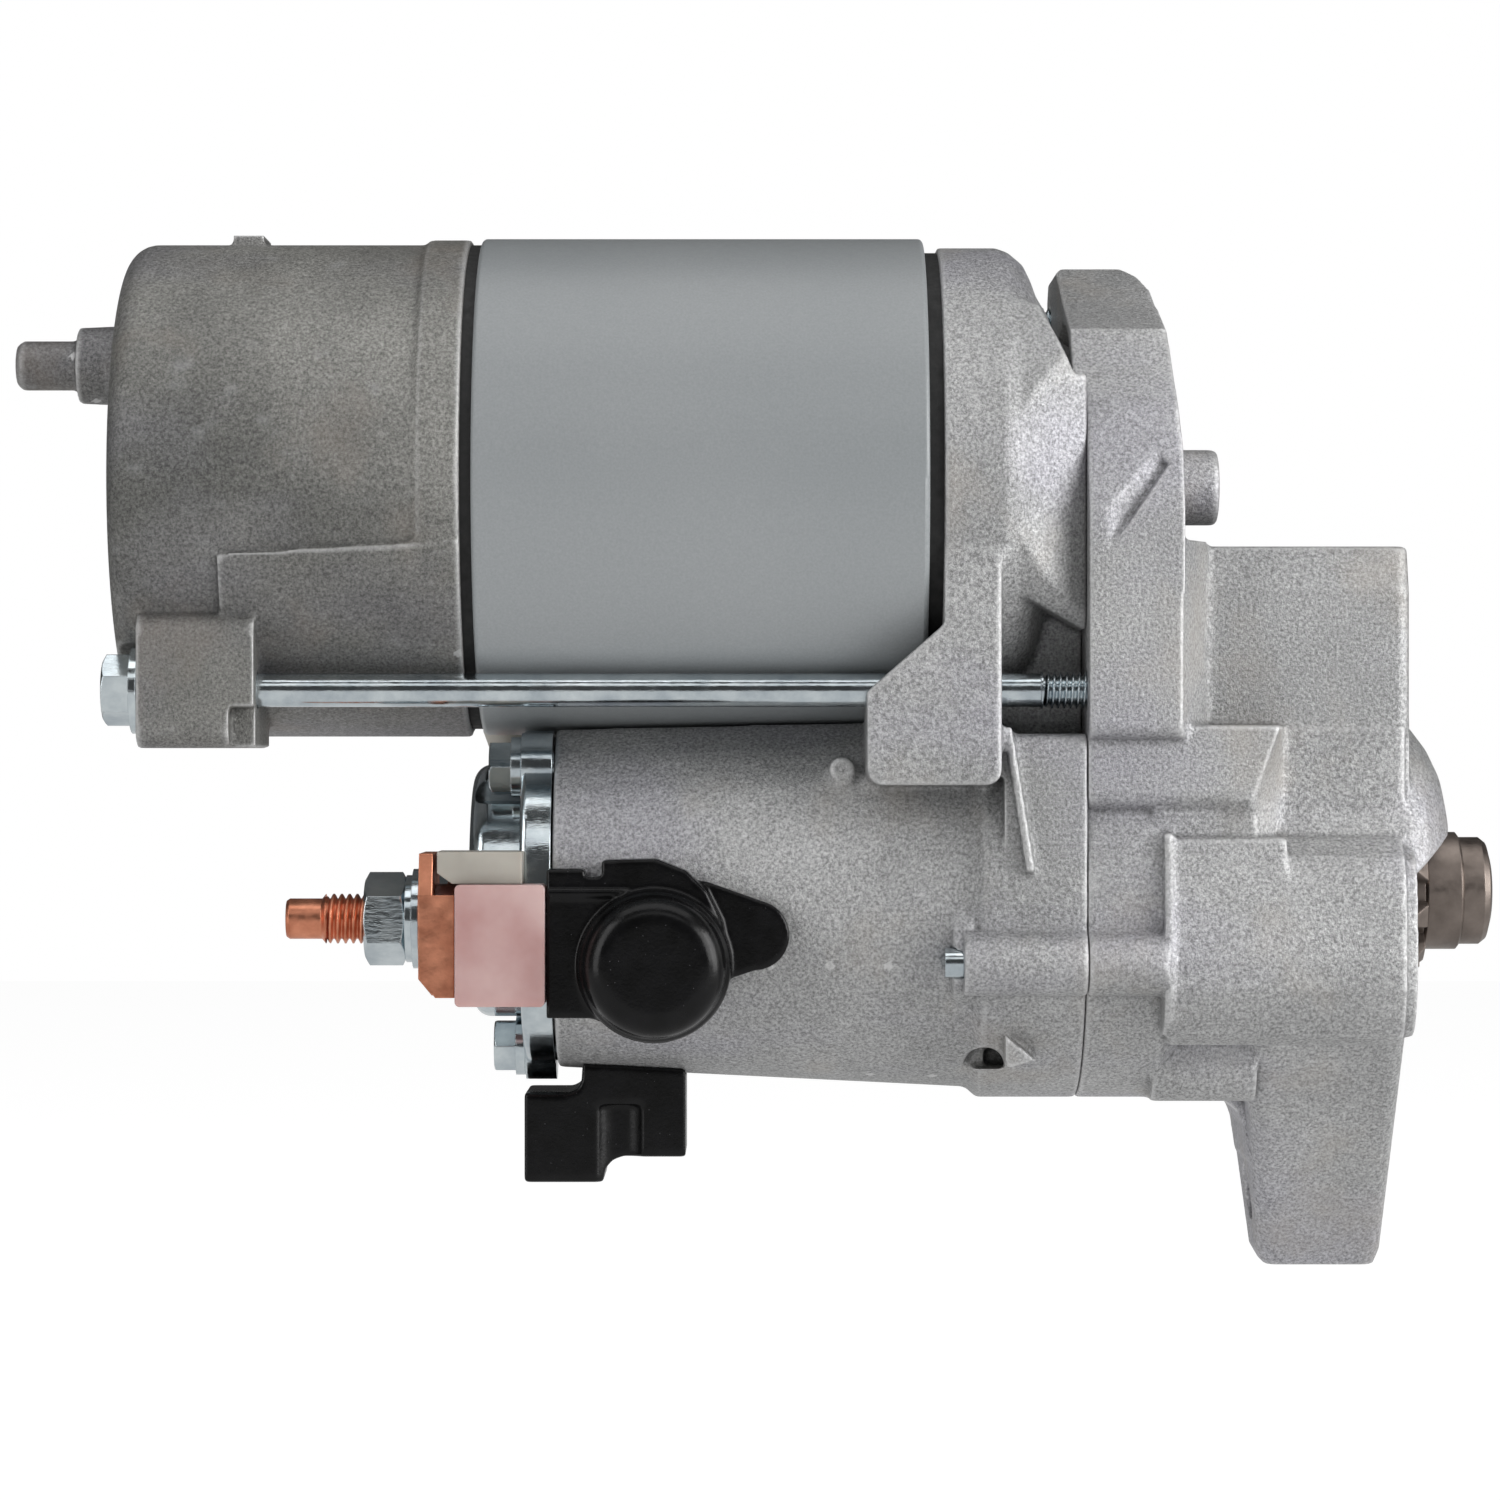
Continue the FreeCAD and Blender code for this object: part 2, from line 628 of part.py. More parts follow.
# --- reduction gears ------------------------------------------------------------------------
ARMATURE_TEETH = 12
IDLER_TEETH = 17
CLUTCH_TEETH = 32
PRESSURE = 25
module = value_of("gear_module")
play = value_of("gear_play")
gear_x = value_of("gear_x")
gear_end_x = value_of("gear_end_x")
down = math.atan2(value_of("idler_z - motor_z"), value_of("idler_y"))
lower = math.atan2(-value_of("idler_z"), -value_of("idler_y"))
armature_phase = down
idler_phase = down + math.pi + math.pi / IDLER_TEETH
turned_teeth = (lower - idler_phase) * IDLER_TEETH / (2 * math.pi)
clutch_phase = lower + math.pi - (0.5 - turned_teeth) * 2 * math.pi / CLUTCH_TEETH
armature_gear = toothed(ARMATURE_TEETH, module, PRESSURE, play, gear_x, gear_end_x, armature_phase)
armature_gear = armature_gear.cut(
    Part.makeCylinder(value_of("armature_shaft_r"), 30, Vector(gear_x - 5, 0, 0), Vector(1, 0, 0))
)
part(made("drive_gear", armature_gear, 0, "motor_z"), "armature_gear")
idler = toothed(IDLER_TEETH, module, PRESSURE, play, gear_x, gear_end_x, idler_phase)
idler = idler.cut(Part.makeCylinder(7.6, 30, Vector(gear_x - 5, 0, 0), Vector(1, 0, 0)))
part(made("idler", idler, "idler_y", "idler_z"), "idler_gear")
rollers = [
    Part.makeCylinder(1.25, 14, Vector(-61, 0, 0) + polar(6.3, 2 * math.pi * i / 12), Vector(1, 0, 0))
    for i in range(12)
]
part(made("needles", Part.makeCompound(rollers), "idler_y", "idler_z"), "idler_rollers")
part(rod("idler_axle", 5.0, -70, -39.5, "idler_y", "idler_z"), "idler_pin")

# --- overrunning clutch ---------------------------------------------------------------------
clutch = toothed(CLUTCH_TEETH, module, PRESSURE, play, gear_x, gear_end_x, clutch_phase)
drum = Part.makeCylinder(22.0, 6.0, Vector(gear_end_x, 0, 0), Vector(1, 0, 0))
race_hole = Part.makeCylinder(value_of("race_r + 0.08"), 30, Vector(-64, 0, 0), Vector(1, 0, 0))
pockets = []
roller_solids = []
roller_r = value_of("roller_r")
circle_r = value_of("roller_circle_r")
for i in range(5):
    spot = Vector(-57.0, 0, 0) + polar(circle_r, 2 * math.pi * i / 5)
    roller_solids.append(Part.makeCylinder(roller_r, 16.6, spot + Vector(0.2, 0, 0), Vector(1, 0, 0)))
    pocket = Part.makeCylinder(roller_r + 0.1, 18, spot, Vector(1, 0, 0))
    ramp = Part.makeCylinder(roller_r - 0.4, 18, Vector(-57, 0, 0) + polar(circle_r, 0.28), Vector(1, 0, 0))
    ramp.rotate(Vector(0, 0, 0), Vector(1, 0, 0), 72 * i)
    pockets.append(pocket.fuse(ramp))
clutch = clutch.fuse(drum).cut(race_hole.multiFuse(pockets))
part(made("clutch_outer", clutch), "clutch_gear")
part(made("clutch_roller_set", Part.makeCompound(roller_solids)), "clutch_rollers")
part(
    cut(
        "clutch_cap",
        turned("clutch_cap_solid", [(-40, 0), (-40, 22), (-37.6, 22), (-36.6, 21), (-36.6, 0)]),
        rod("clutch_cap_bore", "race_r + 0.08", -41, -36),
    ),
    "clutch_cover",
)
tube_solid = turned(
    "race_solid",
    [(-69.7, 0), (-69.7, "race_r"), (-25.6, "race_r"), (-25.6, 0)],
)
gap = value_of("spline_gap")
minor = value_of("spline_minor_r")
major = value_of("spline_major_r")
broach = made("race_broach", splined(10, minor + gap, major + gap, 0.56, -37, -24))
part(
    cut("race_done", tube_solid, rod("race_bore", "tube_bore_r", -71, -36), broach),
    "clutch_race",
)
part(
    ball_bearing("clutch_front_bearing", "clutch_bearing_r", "race_r", -35.2, -26.7, 9),
    "clutch_bearing_front",
)
part(
    ball_bearing("clutch_back_bearing", "clutch_rear_bearing_r", "race_r", -69.8, -63.2, 9),
    "clutch_bearing_rear",
)

# --- pinion and its shaft -------------------------------------------------------------------
shaft_core = turned(
    "pinion_shaft_core",
    [
        (-68, 0), (-68, 9.0), (-66, 9.0), (-66, "spline_minor_r"), (-20, "spline_minor_r"),
        (-20, "spline_major_r"), ("pinion_x - 0.1", "spline_major_r"), ("pinion_x - 0.1", 6.45), (11.1, 6.45),
        (11.1, "head_r"), (14.6, "head_r"), (15.6, 8.1), (16.2, 6.0), (16.2, 0),
    ],
)
shaft_spline = made("pinion_shaft_spline", splined(10, minor, major, 0.5, -54, -19.5))
ball_seat = doc.addObject("Part::Sphere", "ball_seat")
ball_seat.Radius = 3.6
ball_seat.Placement.Base = Vector(-69, 0, 0)
part(
    cut("pinion_shaft_done", fuse("pinion_shaft_fused", shaft_core, shaft_spline), ball_seat),
    "pinion_shaft",
)
pinion = toothed(
    10, value_of("pinion_module"), 20, 0.2, value_of("pinion_x"), value_of("pinion_end_x"), math.pi / 2
)
pinion = pinion.cut(Part.makeCylinder(6.5, 30, Vector(-20, 0, 0), Vector(1, 0, 0)))
bevel = Part.makeCone(17.5, 12.7, 4.8, Vector(-0.1, 0, 0), Vector(1, 0, 0))
envelope = Part.makeCylinder(17.5, 15, Vector(-15.1, 0, 0), Vector(1, 0, 0)).fuse(bevel)
part(made("pinion_solid", pinion.common(envelope)), "pinion")
part(
    cut(
        "stopper",
        turned(
            "stopper_solid",
            [
                (4.8, 0), (4.8, "stopper_r - 0.4"), (5.2, "stopper_r"), (10.7, "stopper_r"),
                (11.05, 9.3), (11.05, 0),
            ],
        ),
        rod("stopper_bore", 6.5, 4, 12),
    ),
    "pinion_stopper",
)
ball = doc.addObject("Part::Sphere", "ball")
ball.Radius = 3.55
ball.Placement.Base = Vector(-69, 0, 0)
part(ball, "thrust_ball")
return_spring = coil(8.3, 0.65, 29.8, 9)
return_spring.rotate(Vector(0, 0, 0), Vector(0, 1, 0), 90)
return_spring.translate(Vector(-65.95, 0, 0))
part(made("return_coil", return_spring), "pinion_return_spring")

# --- solenoid -------------------------------------------------------------------------------
part(
    turned(
        "plunger_solid",
        [
            (-148.1, 0), (-148.1, 2.5), ("plunger_x", 2.5), ("plunger_x", "plunger_r"),
            ("plunger_end_x", "plunger_r"), ("plunger_end_x", "rod_r"), (-72.6, "rod_r"), (-72.6, 0),
        ],
    ),
    "plunger",
)
contact_plate = turned("contact_plate", [(-149.6, 0), (-149.6, 11.5), (-148.1, 11.5), (-148.1, 0)])
part(contact_plate, "contact_plate")
part(
    cut(
        "bobbin_done",
        turned(
            "bobbin_solid",
            [
                (-124.4, 0), (-124.4, 25.9), (-123.0, 25.9), (-123.0, 13.6), (-88.0, 13.6),
                (-88.0, 25.9), (-86.6, 25.9), (-86.6, 0),
            ],
        ),
        rod("bobbin_bore", "coil_sleeve_r", -130, -80),
    ),
    "coil_bobbin",
)
part(
    cut(
        "coil_done",
        rod("coil_outside", 25.2, -122.9, -88.1),
        rod("coil_inside", 13.65, -124, -87),
    ),
    "solenoid_coil",
)
part(
    cut(
        "core_done",
        turned(
            "core_solid",
            [(-84.9, 0), (-84.9, 11.6), (-80.5, 11.6), (-80.5, 26.1), (-74.1, 26.1), (-74.1, 0)],
        ),
        rod("core_bore", "rod_r + 0.08", -90, -70),
        made("core_groove", x_tube(10.4, 7.6, -86, -76.4)),
    ),
    "magnet_core",
)
part(
    cut(
        "yoke_washer_done",
        rod("yoke_washer_outside", 26.1, -126.9, -124.5),
        rod("yoke_washer_bore", 12.3, -130, -120),
    ),
    "magnet_plate",
)
plunger_spring = coil(9.0, 0.8, 26.4, 5)
plunger_spring.rotate(Vector(0, 0, 0), Vector(0, 1, 0), 90)
plunger_spring.translate(Vector(-102.95, 0, 0))
part(made("plunger_coil", plunger_spring), "plunger_return_spring")

# --- centre housing -------------------------------------------------------------------------
rim = turned(
    "rim",
    [
        ("rim_x", 0), ("rim_x", "rim_r"), (-66.0, "rim_r"), (-64.0, 39.0), (-61.6, 37.0), (-60.4, 34.6),
        (-59.4, 31.9), (-57.6, 29.0), (-56.6, 26.4), (-54.6, 23.8), ("joint_x", "neck_r"), ("joint_x", 0),
    ],
    0, "motor_z",
)
barrel = turned(
    "barrel",
    [
        ("barrel_x", 0), ("barrel_x", 29.3), (-71.0, 32.6), (-69.1, "chamber_r"),
        ("joint_x", "chamber_r"), ("joint_x", 0),
    ],
)
case_rear = plate(
    "case_rear",
    [(-21, 8), (27, 8), (27, 62), (-21, 62)],
    -66, "joint_x",
)
# The dome turns flat on the near side and runs down to the joint.
dome_side = common(
    "dome_side",
    plate(
        "dome_side_above",
        [(-66, -20), (-66, -38.6), (-64.6, -38.2), ("joint_x", -31.8), ("joint_x", -20)],
        40, 100, "z",
    ),
    plate(
        "dome_side_front",
        [
            (-66, 50), (-63, 48), ("joint_x", 42.4), ("joint_x", 83.6), (-54.8, 83.6), (-57.2, 89),
            (-60, 95), (-66, 98),
        ],
        -45, 0, "y",
    ),
    rod("dome_side_round", 38.8, -67, -50, 0, "motor_z"),
)
near_ear = rounded(
    "near_ear",
    plate(
        "near_ear_block",
        [
            (-88.0, 32.7), (-88.0, 17.8), (-66.6, 17.8), (-66.6, 60.0), (-75.8, 60.0), (-75.8, 43.4),
        ],
        -38.2, -16, "y",
    ),
    2.5,
    lambda e: along("y")(e) and e.CenterOfMass.z < 30,
)
far_ear = rounded(
    "far_ear",
    plate("far_ear_block", [(20, 84), (41, 84), (41, 106), (20, 106)], -86, -66),
    3.5,
    lambda e: along("x")(e) and e.CenterOfMass.y > 30,
)
cheek_rear = rounded(
    "cheek_rear",
    plate("cheek_rear_block", [(-34.0, 0), (-5, 0), (-5, 26), (-34.0, 26)], -66, "joint_x"),
    2.0,
    lambda e: along("x")(e) and e.CenterOfMass.y < -30 and e.CenterOfMass.z > 20,
)
pin_ridges = []
pin_flanges = []
for side, sign in (("near", -1), ("far", 1)):
    pin_ridges.append(rod(f"{side}_pin_ridge", "pin_boss_r", -72.5, "joint_x", sign * 32.6, "pin_z"))
    flange = rod(f"{side}_pin_flange_disc", 9.8, -74.4, -70.9, sign * 24.5, -8.1)
    pin_flanges.append(rounded(f"{side}_pin_flange", flange, 1.4, ring_at(-74.4, 9.8)))
cheek_rib = plate("cheek_rib", [(-66.2, 27), (-64.9, 27), (-61.2, 4), (-62.6, 4)], -35.6, -20, "y")
casting_lump = pillar("casting_lump", 2.1, -91.8, -26.8, -18, 20.2)
drain_lip = plate("drain_lip", [(-65.5, -22.5), (-65.5, -28.0), (-60.5, -26.5)], -27.5, -15, "y")
housing_outside = fuse(
    "housing_outside", rim, barrel, case_rear, dome_side, near_ear, far_ear, cheek_rear, cheek_rib,
    casting_lump, drain_lip, *pin_ridges, *pin_flanges,
)
drain = common(
    "drain",
    pillar("drain_round", 3.2, -68.5, -36, -16, -27.9),
    block("drain_upper_half", (-73, -64), (-37, -15), (-28.5, -20)),
)
housing_cuts = [
    rod("yoke_room", 42.0, -140, "rim_x", 0, "motor_z"),
    rod("rim_hollow", 33.0, "rim_x - 1", -71, 0, "motor_z"),
    rod("coil_room", "coil_bore_r", -140, -74),
    rod("clutch_room", "chamber_bore_r", "cavity_x", -50),
    rod("motor_gear_room", "gear_room_r", "cavity_x", -50, 0, "motor_z"),
    rod("idler_room", 17.6, "cavity_x", -50, "idler_y", "idler_z"),
    rod("clutch_bearing_seat", "clutch_rear_bearing_r", -70, -60),
    rod("shaft_way", "tube_bore_r + 0.5", -76, -60),
    rod("idler_pin_seat", 5.0, -70, -60, "idler_y", "idler_z"),
    rod("near_bolt_way", "bolt_shank_r + 0.4", -92, "joint_x + 1", "bolt_near_y", "bolt_near_z"),
    rod("far_bolt_way", "bolt_shank_r + 0.4", -92, "joint_x + 1", "bolt_far_y", "bolt_far_z"),
    rod("near_pin_way", "pin_r + 0.02", -76, "joint_x + 1", -32.6, "pin_z"),
    rod("far_pin_way", "pin_r + 0.02", -76, "joint_x + 1", 32.6, "pin_z"),
    drain,
    block("drain_passage", (-68.5, -62), (-18, -12), (-28.2, -25.2)),
]
motor_bearing_boss = cut(
    "motor_bearing_boss",
    rod("motor_boss_outside", 18.0, "rim_x", -70.5, 0, "motor_z"),
    rod("motor_boss_inside", "motor_bearing_r", -77, -70, 0, "motor_z"),
)
housing_open = cut("housing_open", housing_outside, *housing_cuts)
part(
    cut(
        "housing_done",
        fuse("housing_with_boss", housing_open, motor_bearing_boss),
        rod("motor_bearing_seat", "motor_bearing_r", -77, -66.4, 0, "motor_z"),
        rod("motor_shaft_way", 9.0, -68, -60, 0, "motor_z"),
    ),
    "center_housing",
)

# --- drive housing --------------------------------------------------------------------------
# The arm runs from the far through bolt, over the motor axis, down to the near through bolt.
arm = common(
    "arm",
    plate(
        "arm_front_view",
        [
            (-37, 25.3), (-37, 62), (-30, 78), (-18, 92), (0, 98), (20, 105.6), (37.5, 105.6),
            (41, 102), (41, 84), (31, 60), (27, 8), (-21, 8), (-21, 25.3),
        ],
        -56, -34,
    ),
    plate(
        "arm_side_view",
        [
            ("joint_x", 6), ("joint_x", 84), (-54.5, 84), (-54.5, 104.6), (-53.2, 106), (-43.8, 106),
            (-40.8, 103.8), (-39.2, 100.4), (-38.9, 95), (-37.3, 71), (-37.7, 25.3), (-37.7, 6),
        ],
        -45, 45, "y",
    ),
)
arm_rounded = rounded(
    "arm_rounded", arm, 2.2,
    lambda e: along("x")(e) and e.CenterOfMass.y < -36 and e.CenterOfMass.z < 30,
)
scoop = made(
    "scoop",
    corner_solid(
        Vector(-50.3, -37.3, 84.5), Vector(-50.3, -37.3, 54), Vector(-39.8, -41, 69), Vector(-39.8, -32, 69)
    ),
)
strip = plate("strip", [(-38.5, -36), (-37.6, -36), (-32.7, -25), (-32.7, -5), (-38.5, -5)], 25.3, 57, "z")
cheek_front = rounded(
    "cheek_front",
    plate("cheek_front_block", [(-34.0, 14), (-5, 14), (-5, 27.4), (-34.0, 27.4)], "joint_x", -29),
    2.5,
    lambda e: along("x")(e) and e.CenterOfMass.y < -30 and e.CenterOfMass.z < 20,
)
cheek_shelf = plate("cheek_shelf", [(-32.4, 4), (-5, 4), (-5, 16), (-32.4, 16)], -42, -28.5)
cheek_sections = []
for z, x, y in ((7, -25.2, -32.4), (13.2, -26.0, -32.6), (15.4, -26.4, -34.0), (27.4, -21.9, -34.0)):
    corners = [Vector(-30, y, z), Vector(x, y, z), Vector(-20.7, -25.9, z), Vector(-20.7, -12, z)]
    corners.append(Vector(-30, -12, z))
    cheek_sections.append(Part.makePolygon(corners + corners[:1]))
cheek_end = made("cheek_end", Part.makeLoft(cheek_sections, True, True))
chamber = turned(
    "chamber",
    [
        ("joint_x", 0), ("joint_x", "chamber_r"), (-40.5, "chamber_r"), (-35.0, "nose_r"),
        (-0.0, "nose_r"), (0, 0),
    ],
)
nose_block = plate("nose_block", [(-23, 0), (20, 0), (20, 30), (-23, 30)], -36, -18)
upper_face = rounded(
    "upper_face",
    plate("upper_face_block", [(-25, 26), (24, 26), (24, 56.4), (-22.4, 56.4), (-25, 49.5)], -36, 0),
    2.0,
    lambda e: abs(e.CenterOfMass.x) < 0.01 and e.CenterOfMass.y < -20 and e.CenterOfMass.z < 56,
)
lower_face = plate("lower_face", [(-25.8, 4), (24, 4), (24, 27.2), (-25.8, 27.2)], -21.3, -1)
face_filler = plate("face_filler", [(-23.5, 4), (24, 4), (24, 28), (-23.5, 28)], -22, 0)
bulge_rear = plate(
    "bulge_rear",
    [
        (-33.8, 9.4), (-34.7, 4.0), (-35.4, -1), (-36, -10), (-35.6, -15), (-34, -19.4), (-31.5, -22.6),
        (-28.6, -24), (-10, -24), (-10, 9.4),
    ],
    -39.4, -20.9,
)
bulge_core = plate(
    "bulge_core",
    [
        (-28.5, 9.4), (-33.0, 6.2), (-34.8, 3.0), (-35.4, -1), (-36, -10), (-35.6, -15), (-34, -19.4),
        (-31.5, -22.6), (-28.6, -24), (-10, -24), (-10, 9.4),
    ],
    -22, -2,
)
bulge_front = plate(
    "bulge_front",
    [
        (-26.8, 8.6), (-31.4, 5.4), (-33.1, 2.6), (-33.7, -1), (-34.3, -10), (-33.9, -14.8), (-32.4, -18.8),
        (-30.2, -21.6), (-27.9, -22.8), (-10, -22.8), (-10, 8.6),
    ],
    -3, 0,
)
bulge_lip = plate(
    "bulge_lip",
    [
        (-34.7, 10.2), (-35.6, 4.0), (-36.3, -1), (-36.9, -10.2), (-36.5, -15.4), (-34.6, -20),
        (-31.2, -22.4), (-12, -22.4), (-12, 10.2),
    ],
    -40.6, -39.2,
)
keel = rounded(
    "keel",
    plate("keel_block", [(-18, 0), (18, 0), (18, -34.2), (-18, -34.2)], -41, -24),
    6.0,
    lambda e: along("x")(e) and e.CenterOfMass.z < -30,
)
ear_sections = []
for z, x0, x1, y0, y1, corner in (
    (-18, -26.5, 0, -25.5, 30.5, 3), (-61.0, -21.0, 0, 10.3, 26, 3), (-63.8, -19.4, -1.0, 12.5, 24, 2),
):
    ear_sections.append(round_outline(x0, x1, y0, y1, z, corner))
ear = made("ear", Part.makeLoft(ear_sections, True, True))
ear_root = plate(
    "ear_root",
    [
        (-34.0, -26), (-34.0, -33.6), (-28.5, -34.4), (-26.7, -35.4), (-25.2, -36.8), (-24.3, -39),
        (-23.4, -45), (-18, -45), (-18, -26),
    ],
    0, 24, "y",
)
hood_shape = turned(
    "hood_shape",
    [(-1, 16.2), (-1, 28.9), (0, 28.9), (2.6, 27.4), (5.2, 24.0), (7.0, 20.4), (8.0, 16.2)],
)
hood = common(
    "hood",
    hood_shape,
    plate("hood_half", [(-1, 2), (-1, 40), (9, 40), (9, 11.2)], -40, 40, "y"),
)
tip_boss = rounded(
    "tip_boss", rod("tip_boss_rod", 6.3, -40, -28.8, 0, "motor_z"), 1.0, ring_at(-28.8, 6.3)
)
front_pin_ridges = []
for side, sign in (("near", -1), ("far", 1)):
    front_pin_ridges.append(rod(f"{side}_front_ridge", "pin_boss_r", "joint_x", -40, sign * 32.6, "pin_z"))
drive_outside = fuse(
    "drive_outside", arm_rounded, strip, cheek_front, cheek_shelf, cheek_end, chamber, nose_block,
    upper_face, lower_face, face_filler, bulge_rear, bulge_core, bulge_front, bulge_lip, keel, ear,
    ear_root, hood, tip_boss, *front_pin_ridges,
)
drive_cuts = [
    scoop,
    rod("dome_room", 27, -60, "joint_x", 0, "motor_z"),
    rod("front_clutch_room", "chamber_bore_r", -56, "cavity_end_x"),
    rod("front_motor_room", "gear_room_r", -56, "cavity_end_x", 0, "motor_z"),
    rod("front_idler_room", 17.6, -56, "cavity_end_x", "idler_y", "idler_z"),
    rod("front_drum_room", 24.0, -45, -35.5),
    rod("front_bearing_seat", "clutch_bearing_r", -37, -26.5),
    rod("front_lip", 12.5, -30, -20),
    rod("pinion_room", "nose_bore_r", -23.5, 12),
    rod("front_idler_seat", 5.0, -45, -39.5, "idler_y", "idler_z"),
    rod("near_thread", "bolt_thread_r + 0.02", -56, "bolt_end_x + 1", "bolt_near_y", "bolt_near_z"),
    rod("far_thread", "bolt_thread_r + 0.02", -56, "bolt_end_x + 1", "bolt_far_y", "bolt_far_z"),
    rod("near_front_pin", "pin_r + 0.02", -56, -42, -32.6, "pin_z"),
    rod("far_front_pin", "pin_r + 0.02", -56, -42, 32.6, "pin_z"),
    rod("lower_hole", "hole_r", -36, 5, "lower_hole_y", "lower_hole_z"),
    rod("upper_hole", "hole_r", -24, 5, 0, "upper_hole_z"),
]
part(cut("drive_done", drive_outside, *drive_cuts), "drive_housing")

# --- fasteners ------------------------------------------------------------------------------
bolts = []
for side in ("near", "far"):
    y = f"bolt_{side}_y"
    z = f"bolt_{side}_z"
    bolts.append(
        fuse(
            f"{side}_bolt",
            hex_head(f"{side}_bolt_head", 10, "bolt_head_x", "bolt_seat_x - 1.3", y, z, 8, False),
            rod(f"{side}_bolt_washer", 7.0, "bolt_seat_x - 1.3", "bolt_seat_x", y, z),
            rod(f"{side}_bolt_shank", "bolt_shank_r", "bolt_seat_x", -60, y, z),
            rod(f"{side}_bolt_thread", "bolt_thread_r", -60, "bolt_end_x", y, z),
        )
    )
part(group("bolt_pair", bolts), "through_bolts")
part(
    group(
        "pin_pair",
        [
            rod("near_pin", "pin_r", -75.5, -42.2, -32.6, "pin_z"),
            rod("far_pin", "pin_r", -75.5, -42.2, 32.6, "pin_z"),
        ],
    ),
    "case_pins",
)

# --- solenoid rear cover --------------------------------------------------------------------
COVER_SCREWS = [("a", -15.5, 20.6), ("b", 0, -25.8), ("c", 24.5, 8.0)]
cover_disc = rounded(
    "cover_disc",
    rod("cover_disc_rod", "cover_plate_r", "cover_x", "barrel_x - 0.3"),
    1.2,
    ring_at(-143.8, 28.8),
)
pan = rounded("pan", rod("pan_rod", "pan_r", "pan_x", "cover_x + 1"), 3.0, ring_at(-152.4, 21.0))
cover_relief = rod("cover_relief", 42.0, -160, -130, 0, "motor_z")
lobes = []
for tag, y, z in COVER_SCREWS:
    lobes.append(rod(f"lobe_{tag}", 5.6, "cover_x", "barrel_x - 0.3", y, z))
cover_holes = [rod(f"cover_hole_{tag}", 2.6, -160, -136, y, z) for tag, y, z in COVER_SCREWS]
screw_rooms = [rod(f"screw_room_{tag}", 6.0, -160, "cover_x", y, z) for tag, y, z in COVER_SCREWS]
part(
    cut(
        "cover_done",
        fuse("cover_outside", cover_disc, pan, *lobes),
        rod("contact_room", 19.0, -151, -136),
        block("near_slot", (-148.0, -144.5), (-30, -14), (-8, 1)),
        block("far_slot", (-148.0, -144.5), (14, 30), (-8, 1)),
        cover_relief,
        *cover_holes,
        *screw_rooms,
    ),
    "solenoid_cover",
)
screws = []
for tag, y, z in COVER_SCREWS:
    screws.append(
        fuse(
            f"cover_screw_{tag}",
            hex_head(f"screw_head_{tag}", 8, -149.1, -145.4, y, z, 30, False),
            rod(f"screw_washer_{tag}", 4.9, -145.5, "cover_x", y, z),
            rod(f"screw_body_{tag}", 2.5, -144, "barrel_x - 0.1", y, z),
        )
    )
part(group("cover_screw_set", screws), "cover_screws")

# --- terminals ------------------------------------------------------------------------------
part(
    turned(
        "stud_solid",
        [
            (-181.0, 0), (-181.0, 2.9), (-180.5, 3.25), (-175.3, 3.25), (-174.7, "terminal_r"),
            (-168.3, "terminal_r"), (-168.3, "terminal_pitch_r"), (-147.4, "terminal_pitch_r"),
            (-147.4, 0),
        ],
        "terminal_y", "terminal_z",
    ),
    "battery_stud",
)
nut = cut(
    "nut_solid",
    hex_head("nut_hex", 13, -168.3, -161.7, "terminal_y", "terminal_z"),
    rod("nut_bore", "terminal_pitch_r + 0.02", -170, -160, "terminal_y", "terminal_z"),
)
part(nut, "battery_nut")
washer = cut(
    "washer_solid",
    fuse(
        "washer_pair",
        rod("spring_washer", 7.0, -161.7, -160.6, "terminal_y", "terminal_z"),
        rod("flat_washer", 8.0, -160.6, -159.4, "terminal_y", "terminal_z"),
    ),
    rod("washer_bore", "terminal_r + 0.1", -163, -158, "terminal_y", "terminal_z"),
)
part(washer, "battery_washers")
# The strap lies under the washers, and its near edge is folded forward over the insulator.
strap_back = plate(
    "strap_back",
    [(-37, 0.3), (-35, 6.9), (-19, 6.9), (-19, -16), (-37, -16)],
    -159.3, -157.1,
)
strap_fold = plate(
    "strap_fold",
    [(-159.3, -12.6), (-159.3, 0.3), (-153.6, 0.3), (-153.6, -16), (-156.6, -16)],
    -37.0, -35.2, "y",
)
strap_limit = plate(
    "strap_limit",
    [(-159.3, -13.0), (-159.3, 6.9), (-153.6, 6.9), (-153.6, -16), (-156.8, -16)],
    -38, -18, "y",
)
strap = common("strap", fuse("strap_sheet", strap_back, strap_fold), strap_limit)
part(
    cut("strap_done", strap, rod("strap_hole", "terminal_r + 0.1", -162, -150, "terminal_y", "terminal_z")),
    "battery_strap",
)
insulator = fuse(
    "insulator_with_boss",
    rounded(
        "insulator_round",
        plate(
            "insulator_block",
            [(-153.5, -17.4), (-139.2, -17.4), (-139.2, 2.0), (-153.5, 2.0)],
            -37.5, -21.6, "y",
        ),
        0.8,
        along("y"),
    ),
    rod("insulator_boss", 5.6, -157.0, -153, "terminal_y", "terminal_z"),
)
insulator_cuts = [
    rod("insulator_hole", "terminal_r + 0.05", -158, -144.4, "terminal_y", "terminal_z"),
    rod("insulator_plate_room", "cover_plate_r + 0.1", "cover_x - 0.1", -136),
    block("insulator_slot", (-148.0, -144.5), (-32, -14), (-8, 1)),
]
part(cut("insulator_done", insulator, *insulator_cuts), "terminal_insulator")
spacer = plate(
    "spacer_block",
    [(-154.0, 2.1), (-142.9, 2.1), (-142.9, 7.2), (-156.4, 7.2), (-156.4, 3.8)],
    -35.5, -24, "y",
)
spacer_room = rod("spacer_plate_room", "cover_plate_r + 0.1", "cover_x - 0.1", -136)
